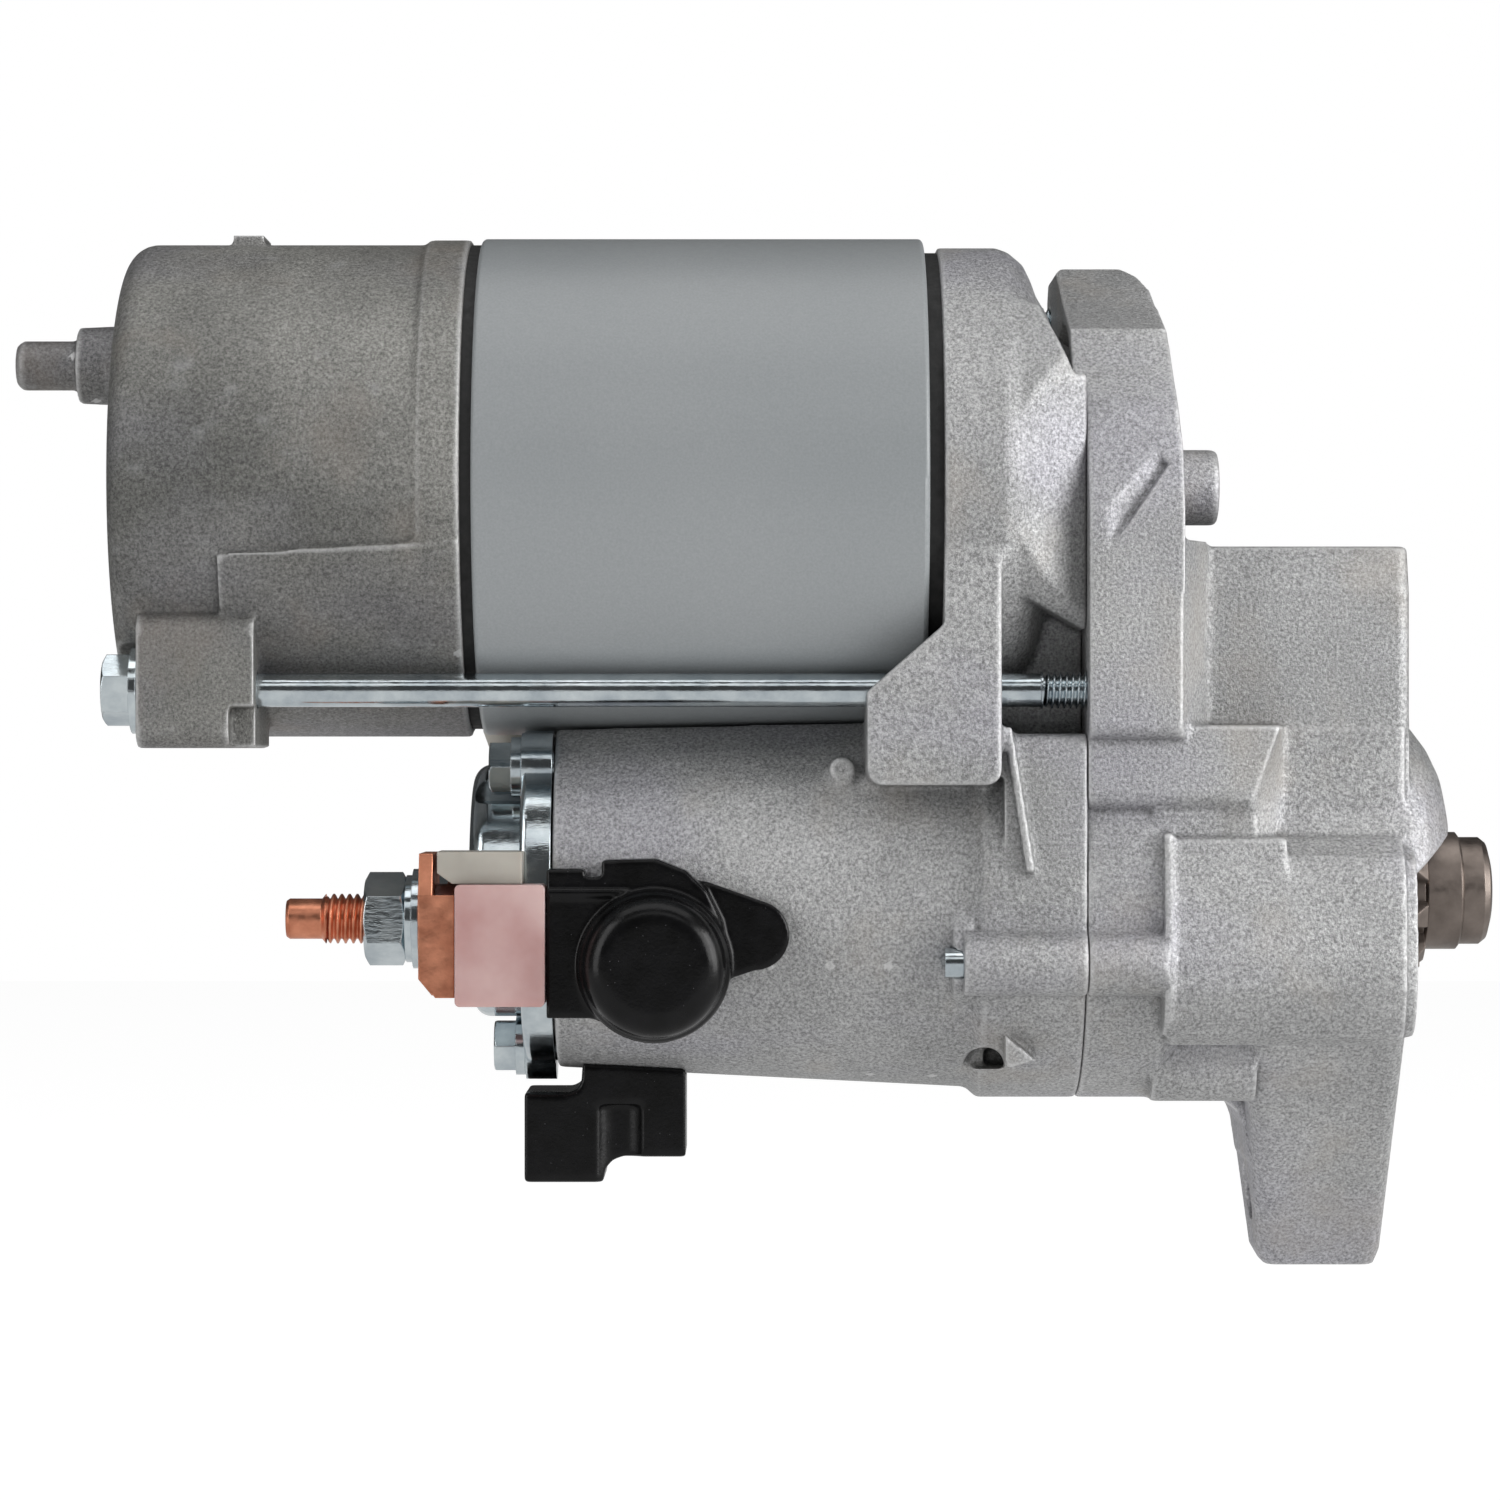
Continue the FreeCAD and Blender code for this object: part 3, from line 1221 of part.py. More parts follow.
spacer_pan_room = rod("spacer_pan_room", "pan_r + 0.2", -160, -136)
part(cut("spacer_done", spacer, spacer_room, spacer_pan_room), "terminal_spacer")
contacts = []
for tag, side in (("near", -1), ("far", 1)):
    outline = [
        (side * 32.0, -147.4), (side * 32.0, -144.9), (side * 17.0, -144.9), (side * 17.0, -127.4),
        (side * 6.0, -127.4), (side * 6.0, -129.9), (side * 15.0, -129.9), (side * 15.0, -147.4),
    ]
    corners = [Vector(x, y, 0) for y, x in outline]
    bar = Part.Face(Part.makePolygon(corners + corners[:1])).extrude(Vector(0, 0, 7.0))
    bar.translate(Vector(0, 0, -7.2))
    contacts.append(bar)
part(made("contact_pair", Part.makeCompound(contacts)), "fixed_contacts")
part(
    turned(
        "motor_stud_solid",
        [
            (-166, 0), (-166, "terminal_r - 0.5"), (-165.5, "terminal_r"), (-164, "terminal_r"),
            (-164, "terminal_pitch_r"), (-147.4, "terminal_pitch_r"), (-147.4, 0),
        ],
        28.0, "terminal_z",
    ),
    "motor_stud",
)
part(
    cut(
        "motor_nut_done",
        hex_head("motor_nut_hex", 13, -164.0, -158.0, 28.0, "terminal_z"),
        rod("motor_nut_bore", "terminal_pitch_r + 0.02", -170, -150, 28.0, "terminal_z"),
    ),
    "motor_nut",
)
motor_insulator_cuts = [
    rod("motor_insulator_hole", "terminal_r + 0.05", -156, -144.4, 28.0, "terminal_z"),
    rod("motor_insulator_room", "cover_plate_r + 0.1", "cover_x - 0.1", -136),
    block("motor_insulator_slot", (-148.0, -144.5), (14, 32), (-8, 1)),
]
motor_insulator = rounded(
    "motor_insulator_round",
    plate(
        "motor_insulator_block",
        [(-153.5, -14), (-139.2, -14), (-139.2, 2.0), (-153.5, 2.0)],
        21.6, 37.5, "y",
    ),
    0.8,
    along("y"),
)
part(cut("motor_insulator_done", motor_insulator, *motor_insulator_cuts), "motor_insulator")
lug = cut(
    "lug",
    fuse(
        "lug_blank",
        rod("lug_ring", 7.5, -157.9, -155.9, 28.0, "terminal_z"),
        block("lug_tongue", (-157.9, -155.9), (33, 40), (-6.4, -1.2)),
    ),
    rod("lug_hole", "terminal_r + 0.1", -160, -150, 28.0, "terminal_z"),
)
lead_x = value_of("lead_x")
lead_y = value_of("lead_y")
path = Part.BSplineCurve()
path.interpolate(
    Points=[
        Vector(-156.9, 38, -3.8), Vector(-153.5, 40.2, -2.6), Vector(-149.8, 40.3, 1.6),
        Vector(lead_x, 37.4, 7), Vector(lead_x, 31.5, 12.4), Vector(lead_x, 25.8, 17.2),
        Vector(lead_x, lead_y, 22),
    ],
    FinalTangent=Vector(0, 0, 1),
)
lead_rise = Part.LineSegment(Vector(lead_x, lead_y, 22), Vector(lead_x, lead_y, 36.5))
start = path.FirstParameter
lead_start = Part.Wire(Part.makeCircle(value_of("lead_r"), path.value(start), path.tangent(start)[0]))
lead_pipe = Part.Wire([path.toShape(), lead_rise.toShape()]).makePipeShell([lead_start], True, False)
part(fuse("lead_done", lug, made("lead_pipe", lead_pipe)), "motor_lead")
boot = doc.addObject("Part::Cone", "boot")
bind(boot, "Radius1", "lead_r + 0.6")
bind(boot, "Radius2", 4.2)
bind(boot, "Height", 4.4)
boot_collar = doc.addObject("Part::Cylinder", "boot_collar")
bind(boot_collar, "Radius", 4.2)
bind(boot_collar, "Height", 10)
boot_bore = doc.addObject("Part::Cylinder", "boot_bore")
bind(boot_bore, "Radius", "lead_r + 0.1")
bind(boot_bore, "Height", 30)
for item, z in ((boot, 22.2), (boot_collar, 26.6), (boot_bore, 12)):
    bind(item, "Placement.Base.x", "lead_x")
    bind(item, "Placement.Base.y", "lead_y")
    bind(item, "Placement.Base.z", z)
part(
    cut(
        "boot_done",
        fuse("boot_outside", boot, boot_collar),
        boot_bore,
        rod("boot_room", "yoke_r + 0.05", -160, -140, 0, "motor_z"),
    ),
    "lead_grommet",
)

# --- connectors -----------------------------------------------------------------------------
cap_plate = plate(
    "cap_plate",
    [
        (-139.0, -19.3), (-139.0, 4.5), (-132.9, 4.5), (-132.9, 3.2), (-130.2, 3.2), (-130.2, 5.9),
        (-121.5, 6.1), (-116.7, 4.2), (-113.5, 1.0), (-111.0, -4.0), (-110.0, -11.0), (-112.0, -17.0),
        (-117.0, -21.2), (-122.0, -22.4), (-128.0, -20.6), (-132.0, -19.3),
    ],
    -36.0, -24.0, "y",
)
cap_ridge = plate("cap_ridge", [(-139.0, 0.1), (-126, 0.1), (-126, 1.1), (-139.0, 1.1)], -36.5, -35, "y")
domes = []
DOME_STEPS = [("outer", 12.2, -38.8, 1.6), ("inner", 11.3, -43.0, 4.0)]
for tag, radius, top, soft in DOME_STEPS:
    domes.append(
        rounded(
            f"dome_{tag}",
            pillar(f"dome_{tag}_rod", radius, -121.8, top, -24, -11.0),
            soft,
            lambda e: e.Curve.TypeId == "Part::GeomCircle" and e.CenterOfMass.y < -37,
        )
    )
tail_tip = pillar("tail_tip", 5.6, -105.9, -33.4, -27.5, -6.2)
tail_web = plate(
    "tail_web",
    [(-118, 3.0), (-113.5, 2.4), (-104.2, -0.9), (-102.8, -10.8), (-110, -13.2), (-118, -18)],
    -33.4, -27.5, "y",
)
barrel_room = turned(
    "cap_barrel_room",
    [("barrel_x - 1", 0), ("barrel_x - 1", 29.35), (-71.0, 32.65), (-71.0, 0)],
)
part(
    cut("cap_done", fuse("cap_outside", cap_plate, cap_ridge, *domes, tail_tip, tail_web), barrel_room),
    "connector_cap",
)
socket = plate(
    "socket_block",
    [
        (-143.8, -33.0), (-136.2, -33.0), (-135.0, -32.4), (-134.4, -31.2), (-134.2, -28.0), (-117.2, -28.0),
        (-117.2, -43.7), (-127.4, -43.7), (-129.2, -44.3), (-130.4, -45.6), (-130.8, -47.9), (-143.8, -47.9),
    ],
    -9, 9, "y",
)
socket_round = rounded("socket_round", socket, 0.8, along("x"))
socket_room = turned(
    "socket_barrel_room",
    [("barrel_x - 1", 0), ("barrel_x - 1", 29.35), (-71.0, 32.65), (-71.0, 0)],
)
finger_groove = doc.addObject("Part::Cylinder", "finger_groove")
bind(finger_groove, "Radius", 4.6)
bind(finger_groove, "Height", 15)
bind(finger_groove, "Placement.Base.x", -128.0)
bind(finger_groove, "Placement.Base.y", -11.6)
bind(finger_groove, "Placement.Base.z", -50)
part(
    cut(
        "socket_done",
        socket_round,
        block("socket_mouth", (-145, -134.5), (-7.0, 7.0), (-46.2, -35.0)),
        socket_room,
        finger_groove,
        rod("socket_plate_room", 29.5, -150, -138),
        block("socket_blade_seat", (-135, -120), (-0.4, 0.4), (-43.4, -37.4)),
    ),
    "connector_socket",
)
part(block("blade_solid", (-141.5, -120.0), (-0.4, 0.4), (-43.4, -37.4)), "connector_blade")

# --- checks and export ----------------------------------------------------------------------
doc.recompute()
for item in doc.Objects:
    if {"Invalid", "Error"} & set(item.State):
        raise RuntimeError(f"{item.Name} did not build: {item.State} {item.getStatusString()}")
for item in PARTS:
    if item.Shape.isNull() or not item.Shape.isValid():
        raise RuntimeError(f"{item.Label} is not a valid shape")
    loose = [solid for solid in item.Shape.Solids if solid.Volume < 0.5]
    if not item.Shape.Solids or loose:
        raise RuntimeError(f"{item.Label} has {len(item.Shape.Solids)} solids, {len(loose)} of them scraps")

os.makedirs("parts", exist_ok=True)
for item in PARTS:
    item.Shape.exportStep(f"parts/{item.Label}.step")
    box = item.Shape.BoundBox
    print(
        f"{item.Label:26s} solids {len(item.Shape.Solids):3d}  volume {item.Shape.Volume:10.1f}  "
        f"x {box.XMin:.1f} {box.XMax:.1f}  y {box.YMin:.1f} {box.YMax:.1f}  z {box.ZMin:.1f} {box.ZMax:.1f}"
    )
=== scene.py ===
import json
import math

import bmesh
import bpy
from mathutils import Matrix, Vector


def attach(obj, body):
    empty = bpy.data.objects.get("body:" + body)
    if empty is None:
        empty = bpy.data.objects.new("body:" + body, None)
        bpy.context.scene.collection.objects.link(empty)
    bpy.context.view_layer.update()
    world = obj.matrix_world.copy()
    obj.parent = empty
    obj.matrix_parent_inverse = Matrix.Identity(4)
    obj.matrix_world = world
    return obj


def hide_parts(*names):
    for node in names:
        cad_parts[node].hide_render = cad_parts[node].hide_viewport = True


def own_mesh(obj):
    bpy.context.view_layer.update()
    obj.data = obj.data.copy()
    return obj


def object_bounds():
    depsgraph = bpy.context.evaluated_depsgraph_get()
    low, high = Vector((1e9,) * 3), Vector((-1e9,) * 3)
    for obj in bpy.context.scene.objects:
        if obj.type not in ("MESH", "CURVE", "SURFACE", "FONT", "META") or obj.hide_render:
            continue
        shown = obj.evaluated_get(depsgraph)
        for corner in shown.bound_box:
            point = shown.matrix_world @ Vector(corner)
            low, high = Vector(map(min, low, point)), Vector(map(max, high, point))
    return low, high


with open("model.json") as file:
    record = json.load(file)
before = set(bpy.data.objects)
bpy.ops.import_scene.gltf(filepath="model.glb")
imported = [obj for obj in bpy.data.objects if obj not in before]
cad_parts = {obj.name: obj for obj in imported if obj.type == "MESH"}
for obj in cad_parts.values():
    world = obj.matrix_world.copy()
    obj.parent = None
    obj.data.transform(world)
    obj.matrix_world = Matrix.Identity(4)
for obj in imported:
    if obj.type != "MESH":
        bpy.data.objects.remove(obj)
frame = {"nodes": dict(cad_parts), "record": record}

NODES = frame["nodes"]
CAD_BOX = [list(corner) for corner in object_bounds()]


# --- materials --------------------------------------------------------------------------------
class Surface:
    """A node material built one layer at a time on a Principled shader."""

    def __init__(self, name, color, metallic, roughness):
        self.material = bpy.data.materials.new(name)
        self.material.use_nodes = True
        self.tree = self.material.node_tree
        self.shader = self.tree.nodes["Principled BSDF"]
        self.shader.inputs["Base Color"].default_value = (*color, 1)
        self.shader.inputs["Metallic"].default_value = metallic
        self.shader.inputs["Roughness"].default_value = roughness
        self.coordinates = self.tree.nodes.new("ShaderNodeTexCoord")
        self.bumps = None

    def join(self, output, target):
        self.tree.links.new(output, target)

    def noise(self, scale, detail=3.0, stretch=(1, 1, 1), roughness=0.55):
        """Cloudy value from 0 to 1 whose features are about one metre over the scale."""
        mapping = self.tree.nodes.new("ShaderNodeMapping")
        mapping.inputs["Scale"].default_value = stretch
        self.join(self.coordinates.outputs["Object"], mapping.inputs["Vector"])
        texture = self.tree.nodes.new("ShaderNodeTexNoise")
        texture.inputs["Scale"].default_value = scale
        texture.inputs["Detail"].default_value = detail
        texture.inputs["Roughness"].default_value = roughness
        self.join(mapping.outputs["Vector"], texture.inputs["Vector"])
        return texture.outputs["Fac"]

    def cells(self, scale):
        """Distance from the nearest of many scattered points."""
        texture = self.tree.nodes.new("ShaderNodeTexVoronoi")
        texture.inputs["Scale"].default_value = scale
        self.join(self.coordinates.outputs["Object"], texture.inputs["Vector"])
        return texture.outputs["Distance"]

    def edges(self):
        """0.5 on flat ground, above it along outer corners and below it along inner corners; the mask for
        painted shade in inner corners and painted highlights on outer corners.
        """
        return self.tree.nodes.new("ShaderNodeNewGeometry").outputs["Pointiness"]

    def ramp(self, value, stops):
        """Colour ramp of (position, (r, g, b)) stops."""
        node = self.tree.nodes.new("ShaderNodeValToRGB")
        while len(node.color_ramp.elements) < len(stops):
            node.color_ramp.elements.new(0.5)
        for element, (position, color) in zip(node.color_ramp.elements, stops):
            element.position = position
            element.color = (*color, 1)
        self.join(value, node.inputs["Fac"])
        return node.outputs["Color"]

    def span(self, value, low, high, start=0.0, end=1.0):
        """The value remapped from low..high to start..end."""
        node = self.tree.nodes.new("ShaderNodeMapRange")
        node.inputs["From Min"].default_value = low
        node.inputs["From Max"].default_value = high
        node.inputs["To Min"].default_value = start
        node.inputs["To Max"].default_value = end
        self.join(value, node.inputs["Value"])
        return node.outputs["Result"]

    def mix(self, factor, first, second, blend="MIX"):
        node = self.tree.nodes.new("ShaderNodeMix")
        node.data_type = "RGBA"
        node.blend_type = blend
        for socket, value in zip((node.inputs[0], node.inputs[6], node.inputs[7]), (factor, first, second)):
            if hasattr(value, "is_output"):
                self.join(value, socket)
            else:
                socket.default_value = value
        return node.outputs[2]

    def color(self, output):
        self.join(output, self.shader.inputs["Base Color"])

    def roughness(self, output):
        self.join(output, self.shader.inputs["Roughness"])

    def bump(self, height, distance, strength=1.0):
        """Relief of a height in metres, added to those before it."""
        node = self.tree.nodes.new("ShaderNodeBump")
        node.inputs["Distance"].default_value = distance
        node.inputs["Strength"].default_value = strength
        self.join(height, node.inputs["Height"])
        if self.bumps:
            self.join(self.bumps, node.inputs["Normal"])
        self.bumps = node.outputs["Normal"]
        self.join(self.bumps, self.shader.inputs["Normal"])

    def soften_edges(self, radius):
        """Shade sharp edges as if they were rounded; called before any bump."""
        node = self.tree.nodes.new("ShaderNodeBevel")
        node.samples = 4
        node.inputs["Radius"].default_value = radius
        self.bumps = node.outputs["Normal"]
        self.join(self.bumps, self.shader.inputs["Normal"])


def cast_metal(name, dark, light, warm, cool):
    """Sand-blasted die casting: cloudy grey with handling marks and a fine grain, painted glints as bright
    specks, painted shade in inner corners and painted highlights along outer corners.
    """
    surface = Surface(name, light, 0.85, 0.5)
    clouds = surface.ramp(surface.noise(20, 5), [(0.36, dark), (0.66, light)])
    tinted = surface.span(surface.noise(26, 4, (0.6, 1, 1)), 0.48, 0.62, 0, 0.6)
    clouds = surface.mix(tinted, clouds, (*cool, 1))
    grain = surface.ramp(surface.noise(2000, 3, roughness=0.75), [(0.34, (0.55,) * 3), (0.66, (1.45,) * 3)])
    body = surface.mix(1.0, clouds, grain, "MULTIPLY")
    stains = surface.span(surface.noise(55, 6, (1, 1, 0.7)), 0.54, 0.72, 0, 0.45)
    body = surface.mix(stains, body, (*warm, 1))
    rubbed = surface.span(surface.noise(170, 6), 0.6, 0.74, 0, 0.3)
    body = surface.mix(rubbed, body, (0.42, 0.425, 0.43, 1))
    # Painted glints: bright specks in the colour stand in for light caught by the grain.
    painted_glints = surface.span(surface.cells(2300), 0.13, 0.04, 0, 0.45)
    body = surface.mix(painted_glints, body, (0.75, 0.76, 0.77, 1))
    edges = surface.edges()
    # Painted shade: inner corners are darkened towards near black. Painted highlight: outer corners are
    # lightened to light grey.
    body = surface.mix(surface.span(edges, 0.49, 0.45, 0, 0.55), body, (0.03, 0.03, 0.03, 1))
    surface.color(surface.mix(surface.span(edges, 0.51, 0.55, 0, 0.5), body, (0.72, 0.72, 0.72, 1)))
    surface.roughness(surface.span(surface.noise(900, 3), 0.3, 0.7, 0.46, 0.64))
    surface.bump(surface.noise(1700, 4, roughness=0.75), 0.00024, 0.8)
    surface.bump(surface.noise(240, 3), 0.0003, 0.25)
    return surface.material


def painted(name):
    """Thin even paint on the drawn steel yoke, with a faint orange peel."""
    surface = Surface(name, (0.2, 0.22, 0.236), 0.0, 0.42)
    tone = surface.ramp(surface.noise(14, 2), [(0.3, (0.20, 0.215, 0.222)), (0.7, (0.225, 0.237, 0.243))])
    fleck = surface.ramp(surface.noise(2600, 2), [(0.3, (0.93,) * 3), (0.7, (1.06,) * 3)])
    surface.color(surface.mix(1.0, tone, fleck, "MULTIPLY"))
    surface.shader.inputs["Coat Weight"].default_value = 0.25
    surface.shader.inputs["Coat Roughness"].default_value = 0.3
    surface.roughness(surface.span(surface.noise(500, 2), 0.3, 0.7, 0.4, 0.5))
    surface.bump(surface.noise(1500, 2), 0.00008, 0.35)
    return surface.material


def zinc(name):
    """Bright zinc plate with a blue cast and small wrench and handling marks."""
    surface = Surface(name, (0.60, 0.67, 0.70), 1.0, 0.2)
    surface.soften_edges(0.0003)
    surface.color(surface.ramp(surface.noise(160, 4), [(0.3, (0.42, 0.48, 0.52)), (0.7, (0.70, 0.76, 0.78))]))
    surface.roughness(surface.span(surface.noise(420, 4), 0.3, 0.7, 0.07, 0.2))
    surface.bump(surface.noise(1800, 3, (0.3, 1, 1)), 0.00006, 0.3)
    return surface.material


def copper(name):
    surface = Surface(name, (0.7, 0.3, 0.16), 1.0, 0.35)
    surface.soften_edges(0.0003)
    tone = [(0.3, (0.525, 0.19375, 0.1125)), (0.7, (0.90, 0.3875, 0.2375))]
    surface.color(surface.ramp(surface.noise(240, 4), tone))
    surface.roughness(surface.span(surface.noise(500, 4), 0.3, 0.7, 0.28, 0.46))
    surface.bump(surface.noise(1500, 3, (1, 0.25, 1)), 0.00008, 0.35)
    return surface.material


def steel(name, dark, light, low=0.28, high=0.45, stretch=(0.15, 1, 1)):
    """Machined steel; low and high are its roughness, and the stretch draws the tool marks out."""
    surface = Surface(name, light, 1.0, 0.35)
    surface.soften_edges(0.00025)
    surface.color(surface.ramp(surface.noise(180, 4), [(0.3, dark), (0.7, light)]))
    surface.roughness(surface.span(surface.noise(700, 4, stretch), 0.3, 0.7, low, high))
    surface.bump(surface.noise(2200, 2, stretch), 0.00005, 0.3)
    return surface.material


def nylon(name, dark, light):
    """Milky translucent moulding."""
    surface = Surface(name, light, 0.0, 0.38)
    surface.soften_edges(0.0004)
    surface.color(surface.ramp(surface.noise(55, 4), [(0.32, dark), (0.66, light)]))
    surface.shader.inputs["Subsurface Weight"].default_value = 0.2
    surface.shader.inputs["Subsurface Radius"].default_value = (0.004, 0.0025, 0.002)
    surface.shader.inputs["Subsurface Scale"].default_value = 1.0
    surface.roughness(surface.span(surface.noise(400, 3), 0.3, 0.7, 0.33, 0.5))
    surface.bump(surface.noise(900, 3), 0.00008, 0.3)
    return surface.material


def black_plastic(name):
    """Glossy moulded plastic, with dust specks and faint flow marks."""
    surface = Surface(name, (0.008, 0.008, 0.009), 0.0, 0.3)
    tone = surface.ramp(surface.noise(260, 3), [(0.3, (0.0015,) * 3), (0.7, (0.004, 0.004, 0.0045))])
    dust = surface.span(surface.cells(700), 0.06, 0.03, 0, 0.35)
    surface.color(surface.mix(dust, tone, (0.18, 0.18, 0.19, 1)))
    surface.shader.inputs["Specular IOR Level"].default_value = 0.22
    surface.roughness(surface.span(surface.noise(500, 3), 0.3, 0.7, 0.18, 0.3))
    surface.bump(surface.noise(1600, 3), 0.00006, 0.35)
    return surface.material


def matt(name, dark, light, rough=0.7, scale=500):
    """Dull surface such as rubber, ferrite or carbon."""
    surface = Surface(name, light, 0.0, rough)
    surface.color(surface.ramp(surface.noise(scale, 4), [(0.3, dark), (0.7, light)]))
    surface.roughness(surface.span(surface.noise(scale * 1.5, 3), 0.3, 0.7, rough - 0.1, rough + 0.08))
    surface.bump(surface.noise(scale * 3, 3), 0.0001, 0.35)
    return surface.material


def wound(name):
    """Enamelled wire: fine parallel strands across the coil."""
    surface = Surface(name, (0.45, 0.14, 0.05), 0.6, 0.35)
    strands = surface.noise(900, 1, (3.0, 0.2, 0.2))
    surface.color(surface.ramp(strands, [(0.35, (0.20, 0.05, 0.02)), (0.6, (0.62, 0.24, 0.09))]))
    surface.roughness(surface.span(surface.noise(600, 3), 0.3, 0.7, 0.28, 0.42))
    surface.bump(strands, 0.0003, 0.7)
    return surface.material


CAST = cast_metal(
    "cast_aluminium", (0.32, 0.322, 0.322), (0.46, 0.46, 0.46), (0.42, 0.388, 0.35), (0.37, 0.365, 0.40)
)
CAST_REAR = cast_metal(
    "cast_aluminium_rear", (0.135, 0.135, 0.128), (0.29, 0.287, 0.27), (0.27, 0.235, 0.205),
    (0.20, 0.198, 0.212),
)
FINISHES = {
    "cast_aluminium": CAST,
    "yoke_paint": painted("yoke_paint"),
    "seal_rubber": matt("seal_rubber", (0.002,) * 3, (0.007,) * 3, 0.7),
    "ferrite": matt("ferrite", (0.03,) * 3, (0.06,) * 3, 0.55),
    "steel": steel("ground_steel", (0.42, 0.42, 0.43), (0.58, 0.58, 0.59)),
    "pinion_steel": steel("hardened_steel", (0.15, 0.125, 0.11), (0.26, 0.22, 0.195), 0.34, 0.5, (1, 1, 1)),
    "lamination": steel("laminations", (0.16, 0.16, 0.17), (0.34, 0.34, 0.35), 0.35, 0.55, (6, 0.2, 0.2)),
    "copper": copper("copper"),
    "moulding": matt("brown_moulding", (0.06, 0.03, 0.015), (0.11, 0.06, 0.03), 0.45),
    "carbon": matt("carbon", (0.02, 0.02, 0.022), (0.07, 0.06, 0.055), 0.6, 900),
    "zinc": zinc("zinc_plate"),
    "pink_nylon": nylon("pink_nylon", (0.36, 0.20, 0.19), (0.50, 0.36, 0.345)),
    "white_nylon": nylon("white_nylon", (0.24, 0.225, 0.195), (0.38, 0.36, 0.32)),
    "black_plastic": black_plastic("black_plastic"),
}
WINDING = wound("enamelled_wire")

SLOT_OF = {entry["node"]: entry["material_slot"] for entry in frame["record"]["subparts"]}


def paint(obj, material):
    obj.data.materials.clear()
    obj.data.materials.append(material)


for node, obj in NODES.items():
    paint(obj, FINISHES[SLOT_OF[node]])
for node in ("solenoid_coil", "armature_windings"):
    paint(NODES[node], WINDING)


# --- moulded and cast skins ---------------------------------------------------------------------
def new_piece(name, mesh, material, node, body="housing"):
    obj = bpy.data.objects.new(name, mesh)
    bpy.context.scene.collection.objects.link(obj)
    paint(obj, material)
    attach(obj, body)
    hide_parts(node)
    return obj


def moulded_skin(node, voxel, rounds, material):
    """A copy of a part whose corners and inner corners are rounded as a casting or moulding has them."""
    source = bpy.data.objects.new(node + "_source", NODES[node].data.copy())
    bpy.context.scene.collection.objects.link(source)
    remesh = source.modifiers.new("remesh", "REMESH")
    remesh.mode = "VOXEL"
    remesh.voxel_size = voxel
    remesh.use_smooth_shade = True
    smooth = source.modifiers.new("smooth", "SMOOTH")
    smooth.factor = 0.5
    smooth.iterations = rounds
    graph = bpy.context.evaluated_depsgraph_get()
    mesh = bpy.data.meshes.new_from_object(source.evaluated_get(graph))
    bpy.data.objects.remove(source)
    return new_piece(node + "_skin", mesh, material, node)


CASTING_VOXEL = 0.0005
MOULDING_VOXEL = 0.00035
CASTINGS = (("drive_housing", 5, CAST), ("center_housing", 5, CAST), ("end_frame", 2, CAST_REAR))
for node, rounds, material in CASTINGS:
    moulded_skin(node, CASTING_VOXEL, rounds, material)
for node in ("connector_cap", "connector_socket"):
    moulded_skin(node, MOULDING_VOXEL, 7, FINISHES["black_plastic"])


def return_spring(node, body):
    """The part's own coil as a new piece with its own copy of the mesh, held by the given body."""
    spring = new_piece(node + "_coil", NODES[node].data.copy(), FINISHES["steel"], node, body)
    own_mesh(spring)


return_spring("pinion_return_spring", "race")
return_spring("plunger_return_spring", "housing")


# --- threads --------------------------------------------------------------------------------------
def kept_ends(node, low, high):
    """The part's own mesh with the stretch from low to high along X taken out."""
    maker = bmesh.new()
    maker.from_mesh(NODES[node].data)
    for place in (low, high):
        everything = list(maker.verts) + list(maker.edges) + list(maker.faces)
        bmesh.ops.bisect_plane(maker, geom=everything, plane_co=(place, 0, 0), plane_no=(1, 0, 0))
    inside = [face for face in maker.faces if low < face.calc_center_median().x < high]
    bmesh.ops.delete(maker, geom=inside, context="FACES")
    return maker


def add_thread(maker, low, high, minor, major, pitch, y, z):
    """A real helical thread about an axis along X: each ring of points follows the turning ridge."""
    around = 40
    rows = int((high - low) / pitch * 10)
    grid = []
    for row in range(rows + 1):
        x = low + (high - low) * row / rows
        fade = min(1.0, (x - low) / pitch, (high - x) / pitch)
        ring = []
        for step in range(around):
            phase = (x / pitch + step / around) % 1
            ridge = min(1.0, max(0.0, 1.35 - abs(phase - 0.5) * 3.4))
            radius = minor + (major - minor) * ridge * fade
            angle = 2 * math.pi * step / around
            ring.append(maker.verts.new((x, y + radius * math.cos(angle), z + radius * math.sin(angle))))
        grid.append(ring)
    for lower, upper in zip(grid, grid[1:]):
        for step in range(around):
            after = (step + 1) % around
            face = maker.faces.new((lower[step], lower[after], upper[after], upper[step]))
            face.smooth = True


def finished(maker, name, node, material):
    """The built mesh as a piece, smooth-shaded except at its sharp edges."""
    bmesh.ops.recalc_face_normals(maker, faces=maker.faces)
    mesh = bpy.data.meshes.new(name)
    maker.to_mesh(mesh)
    maker.free()
    mesh.set_sharp_from_angle(angle=math.radians(35))
    return new_piece(name, mesh, material, node)


BOLT_AXES = ((-0.0294, 0.033), (0.0334, 0.0972))
STUD_AXIS = (-0.028, -0.0037)

bolts = kept_ends("through_bolts", -0.0597, -0.0425)
for axis in BOLT_AXES:
    add_thread(bolts, -0.0599, -0.0425, 0.00225, 0.0030, 0.001, *axis)
finished(bolts, "threaded_through_bolts", "through_bolts", FINISHES["zinc"])
stud = kept_ends("battery_stud", -0.1747, -0.1683)
add_thread(stud, -0.1752, -0.1660, 0.00325, 0.0040, 0.00125, *STUD_AXIS)
finished(stud, "threaded_battery_stud", "battery_stud", FINISHES["copper"])


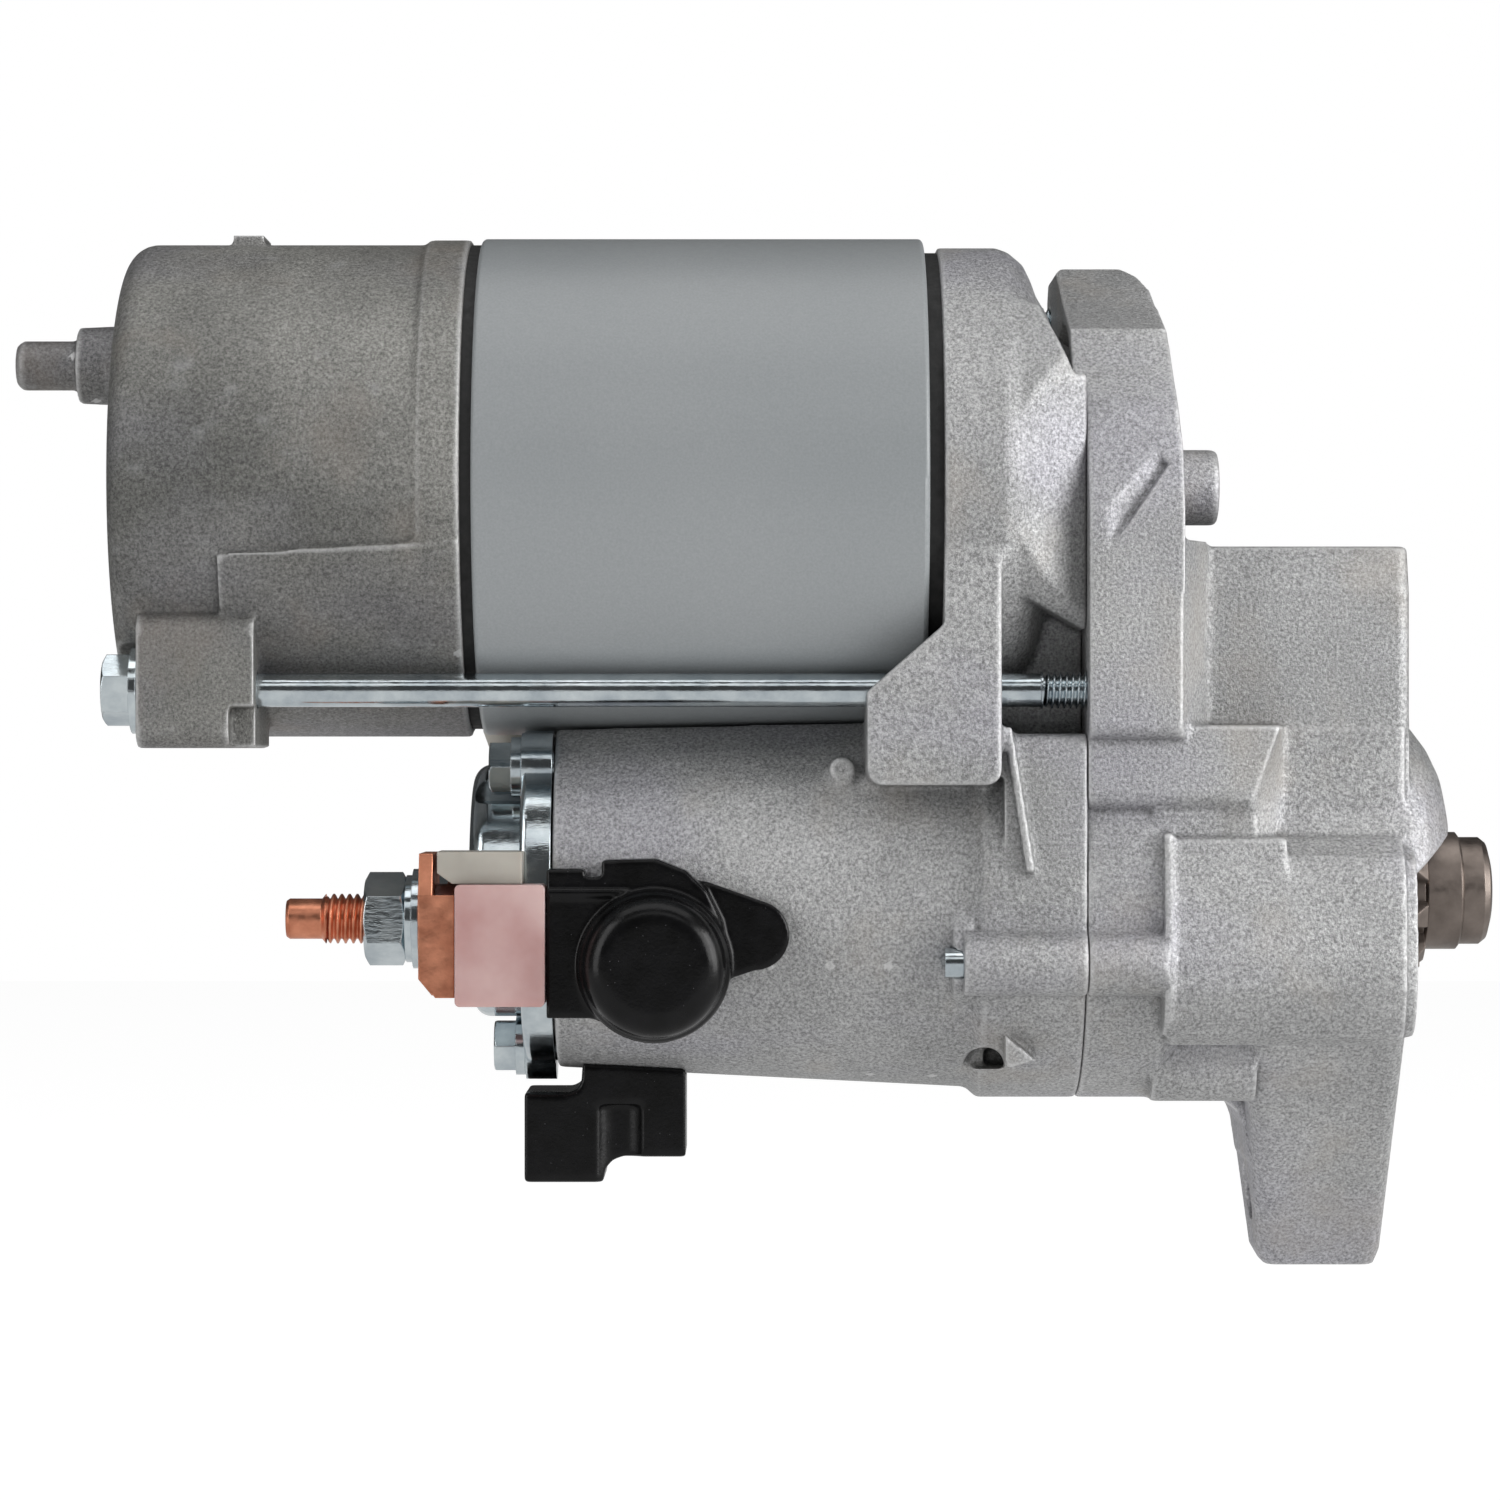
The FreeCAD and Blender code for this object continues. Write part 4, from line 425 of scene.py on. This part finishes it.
# --- studio -------------------------------------------------------------------------------------
def studio():
    scene = bpy.context.scene
    scene.view_settings.view_transform = "Standard"
    world = bpy.data.worlds.new("studio")
    scene.world = world
    world.use_nodes = True
    tree = world.node_tree
    background = tree.nodes["Background"]
    background.inputs["Color"].default_value = (1, 1, 1, 1)
    rays = tree.nodes.new("ShaderNodeLightPath")
    strength = tree.nodes.new("ShaderNodeMapRange")
    strength.inputs["To Min"].default_value = 0.06
    strength.inputs["To Max"].default_value = 1.0
    tree.links.new(rays.outputs["Is Camera Ray"], strength.inputs["Value"])
    tree.links.new(strength.outputs["Result"], background.inputs["Strength"])

    mesh = bpy.data.meshes.new("studio_floor")
    maker = bmesh.new()
    bmesh.ops.create_grid(maker, x_segments=1, y_segments=1, size=1.6)
    maker.to_mesh(mesh)
    maker.free()
    floor = bpy.data.objects.new("studio_floor", mesh)
    floor.location = (0, 0, CAD_BOX[0][2] - 0.03)
    scene.collection.objects.link(floor)
    plain = Surface("studio_white", (0.08, 0.08, 0.08), 0.0, 0.9)
    plain.shader.inputs["Emission Color"].default_value = (1, 1, 1, 1)
    rays = plain.tree.nodes.new("ShaderNodeLightPath")
    strength = plain.tree.nodes.new("ShaderNodeMath")
    strength.operation = "ADD"
    plain.join(plain.span(rays.outputs["Is Glossy Ray"], 0, 1, 0.96, 0.6), strength.inputs[0])
    plain.join(plain.span(rays.outputs["Is Diffuse Ray"], 0, 1, 0, 0.3), strength.inputs[1])
    plain.join(strength.outputs["Value"], plain.shader.inputs["Emission Strength"])
    floor.data.materials.append(plain.material)


def softbox(name, place, target, size, power):
    light = bpy.data.lights.new(name, "AREA")
    light.shape = "RECTANGLE"
    light.size, light.size_y = size
    light.energy = power
    obj = bpy.data.objects.new(name, light)
    obj.location = place
    obj.rotation_euler = (Vector(target) - Vector(place)).to_track_quat("-Z", "Y").to_euler()
    bpy.context.scene.collection.objects.link(obj)


def camera():
    data = bpy.data.cameras.new("camera")
    data.sensor_width = 36
    data.lens = 112.75
    data.clip_start = 0.05
    obj = bpy.data.objects.new("camera", data)
    obj.location = (-0.1066, -0.783, 0.0234)
    obj.rotation_euler = (math.radians(90), 0, 0)
    bpy.context.scene.collection.objects.link(obj)
    bpy.context.scene.camera = obj


studio()
CENTRE = (-0.1, 0, 0.03)
softbox("above", (-0.1, -0.12, 0.9), CENTRE, (1.3, 0.8), 5)
softbox("right", (0.9, -0.3, 0.2), CENTRE, (0.5, 0.9), 9)
softbox("key", (0.57, -0.53, 0.25), CENTRE, (0.4, 0.5), 3.2)
softbox("left", (-0.85, -0.5, 0.25), CENTRE, (0.4, 0.9), 3.5)
softbox("front", (-0.1, -0.95, 0.75), CENTRE, (1.0, 0.3), 1)
camera()
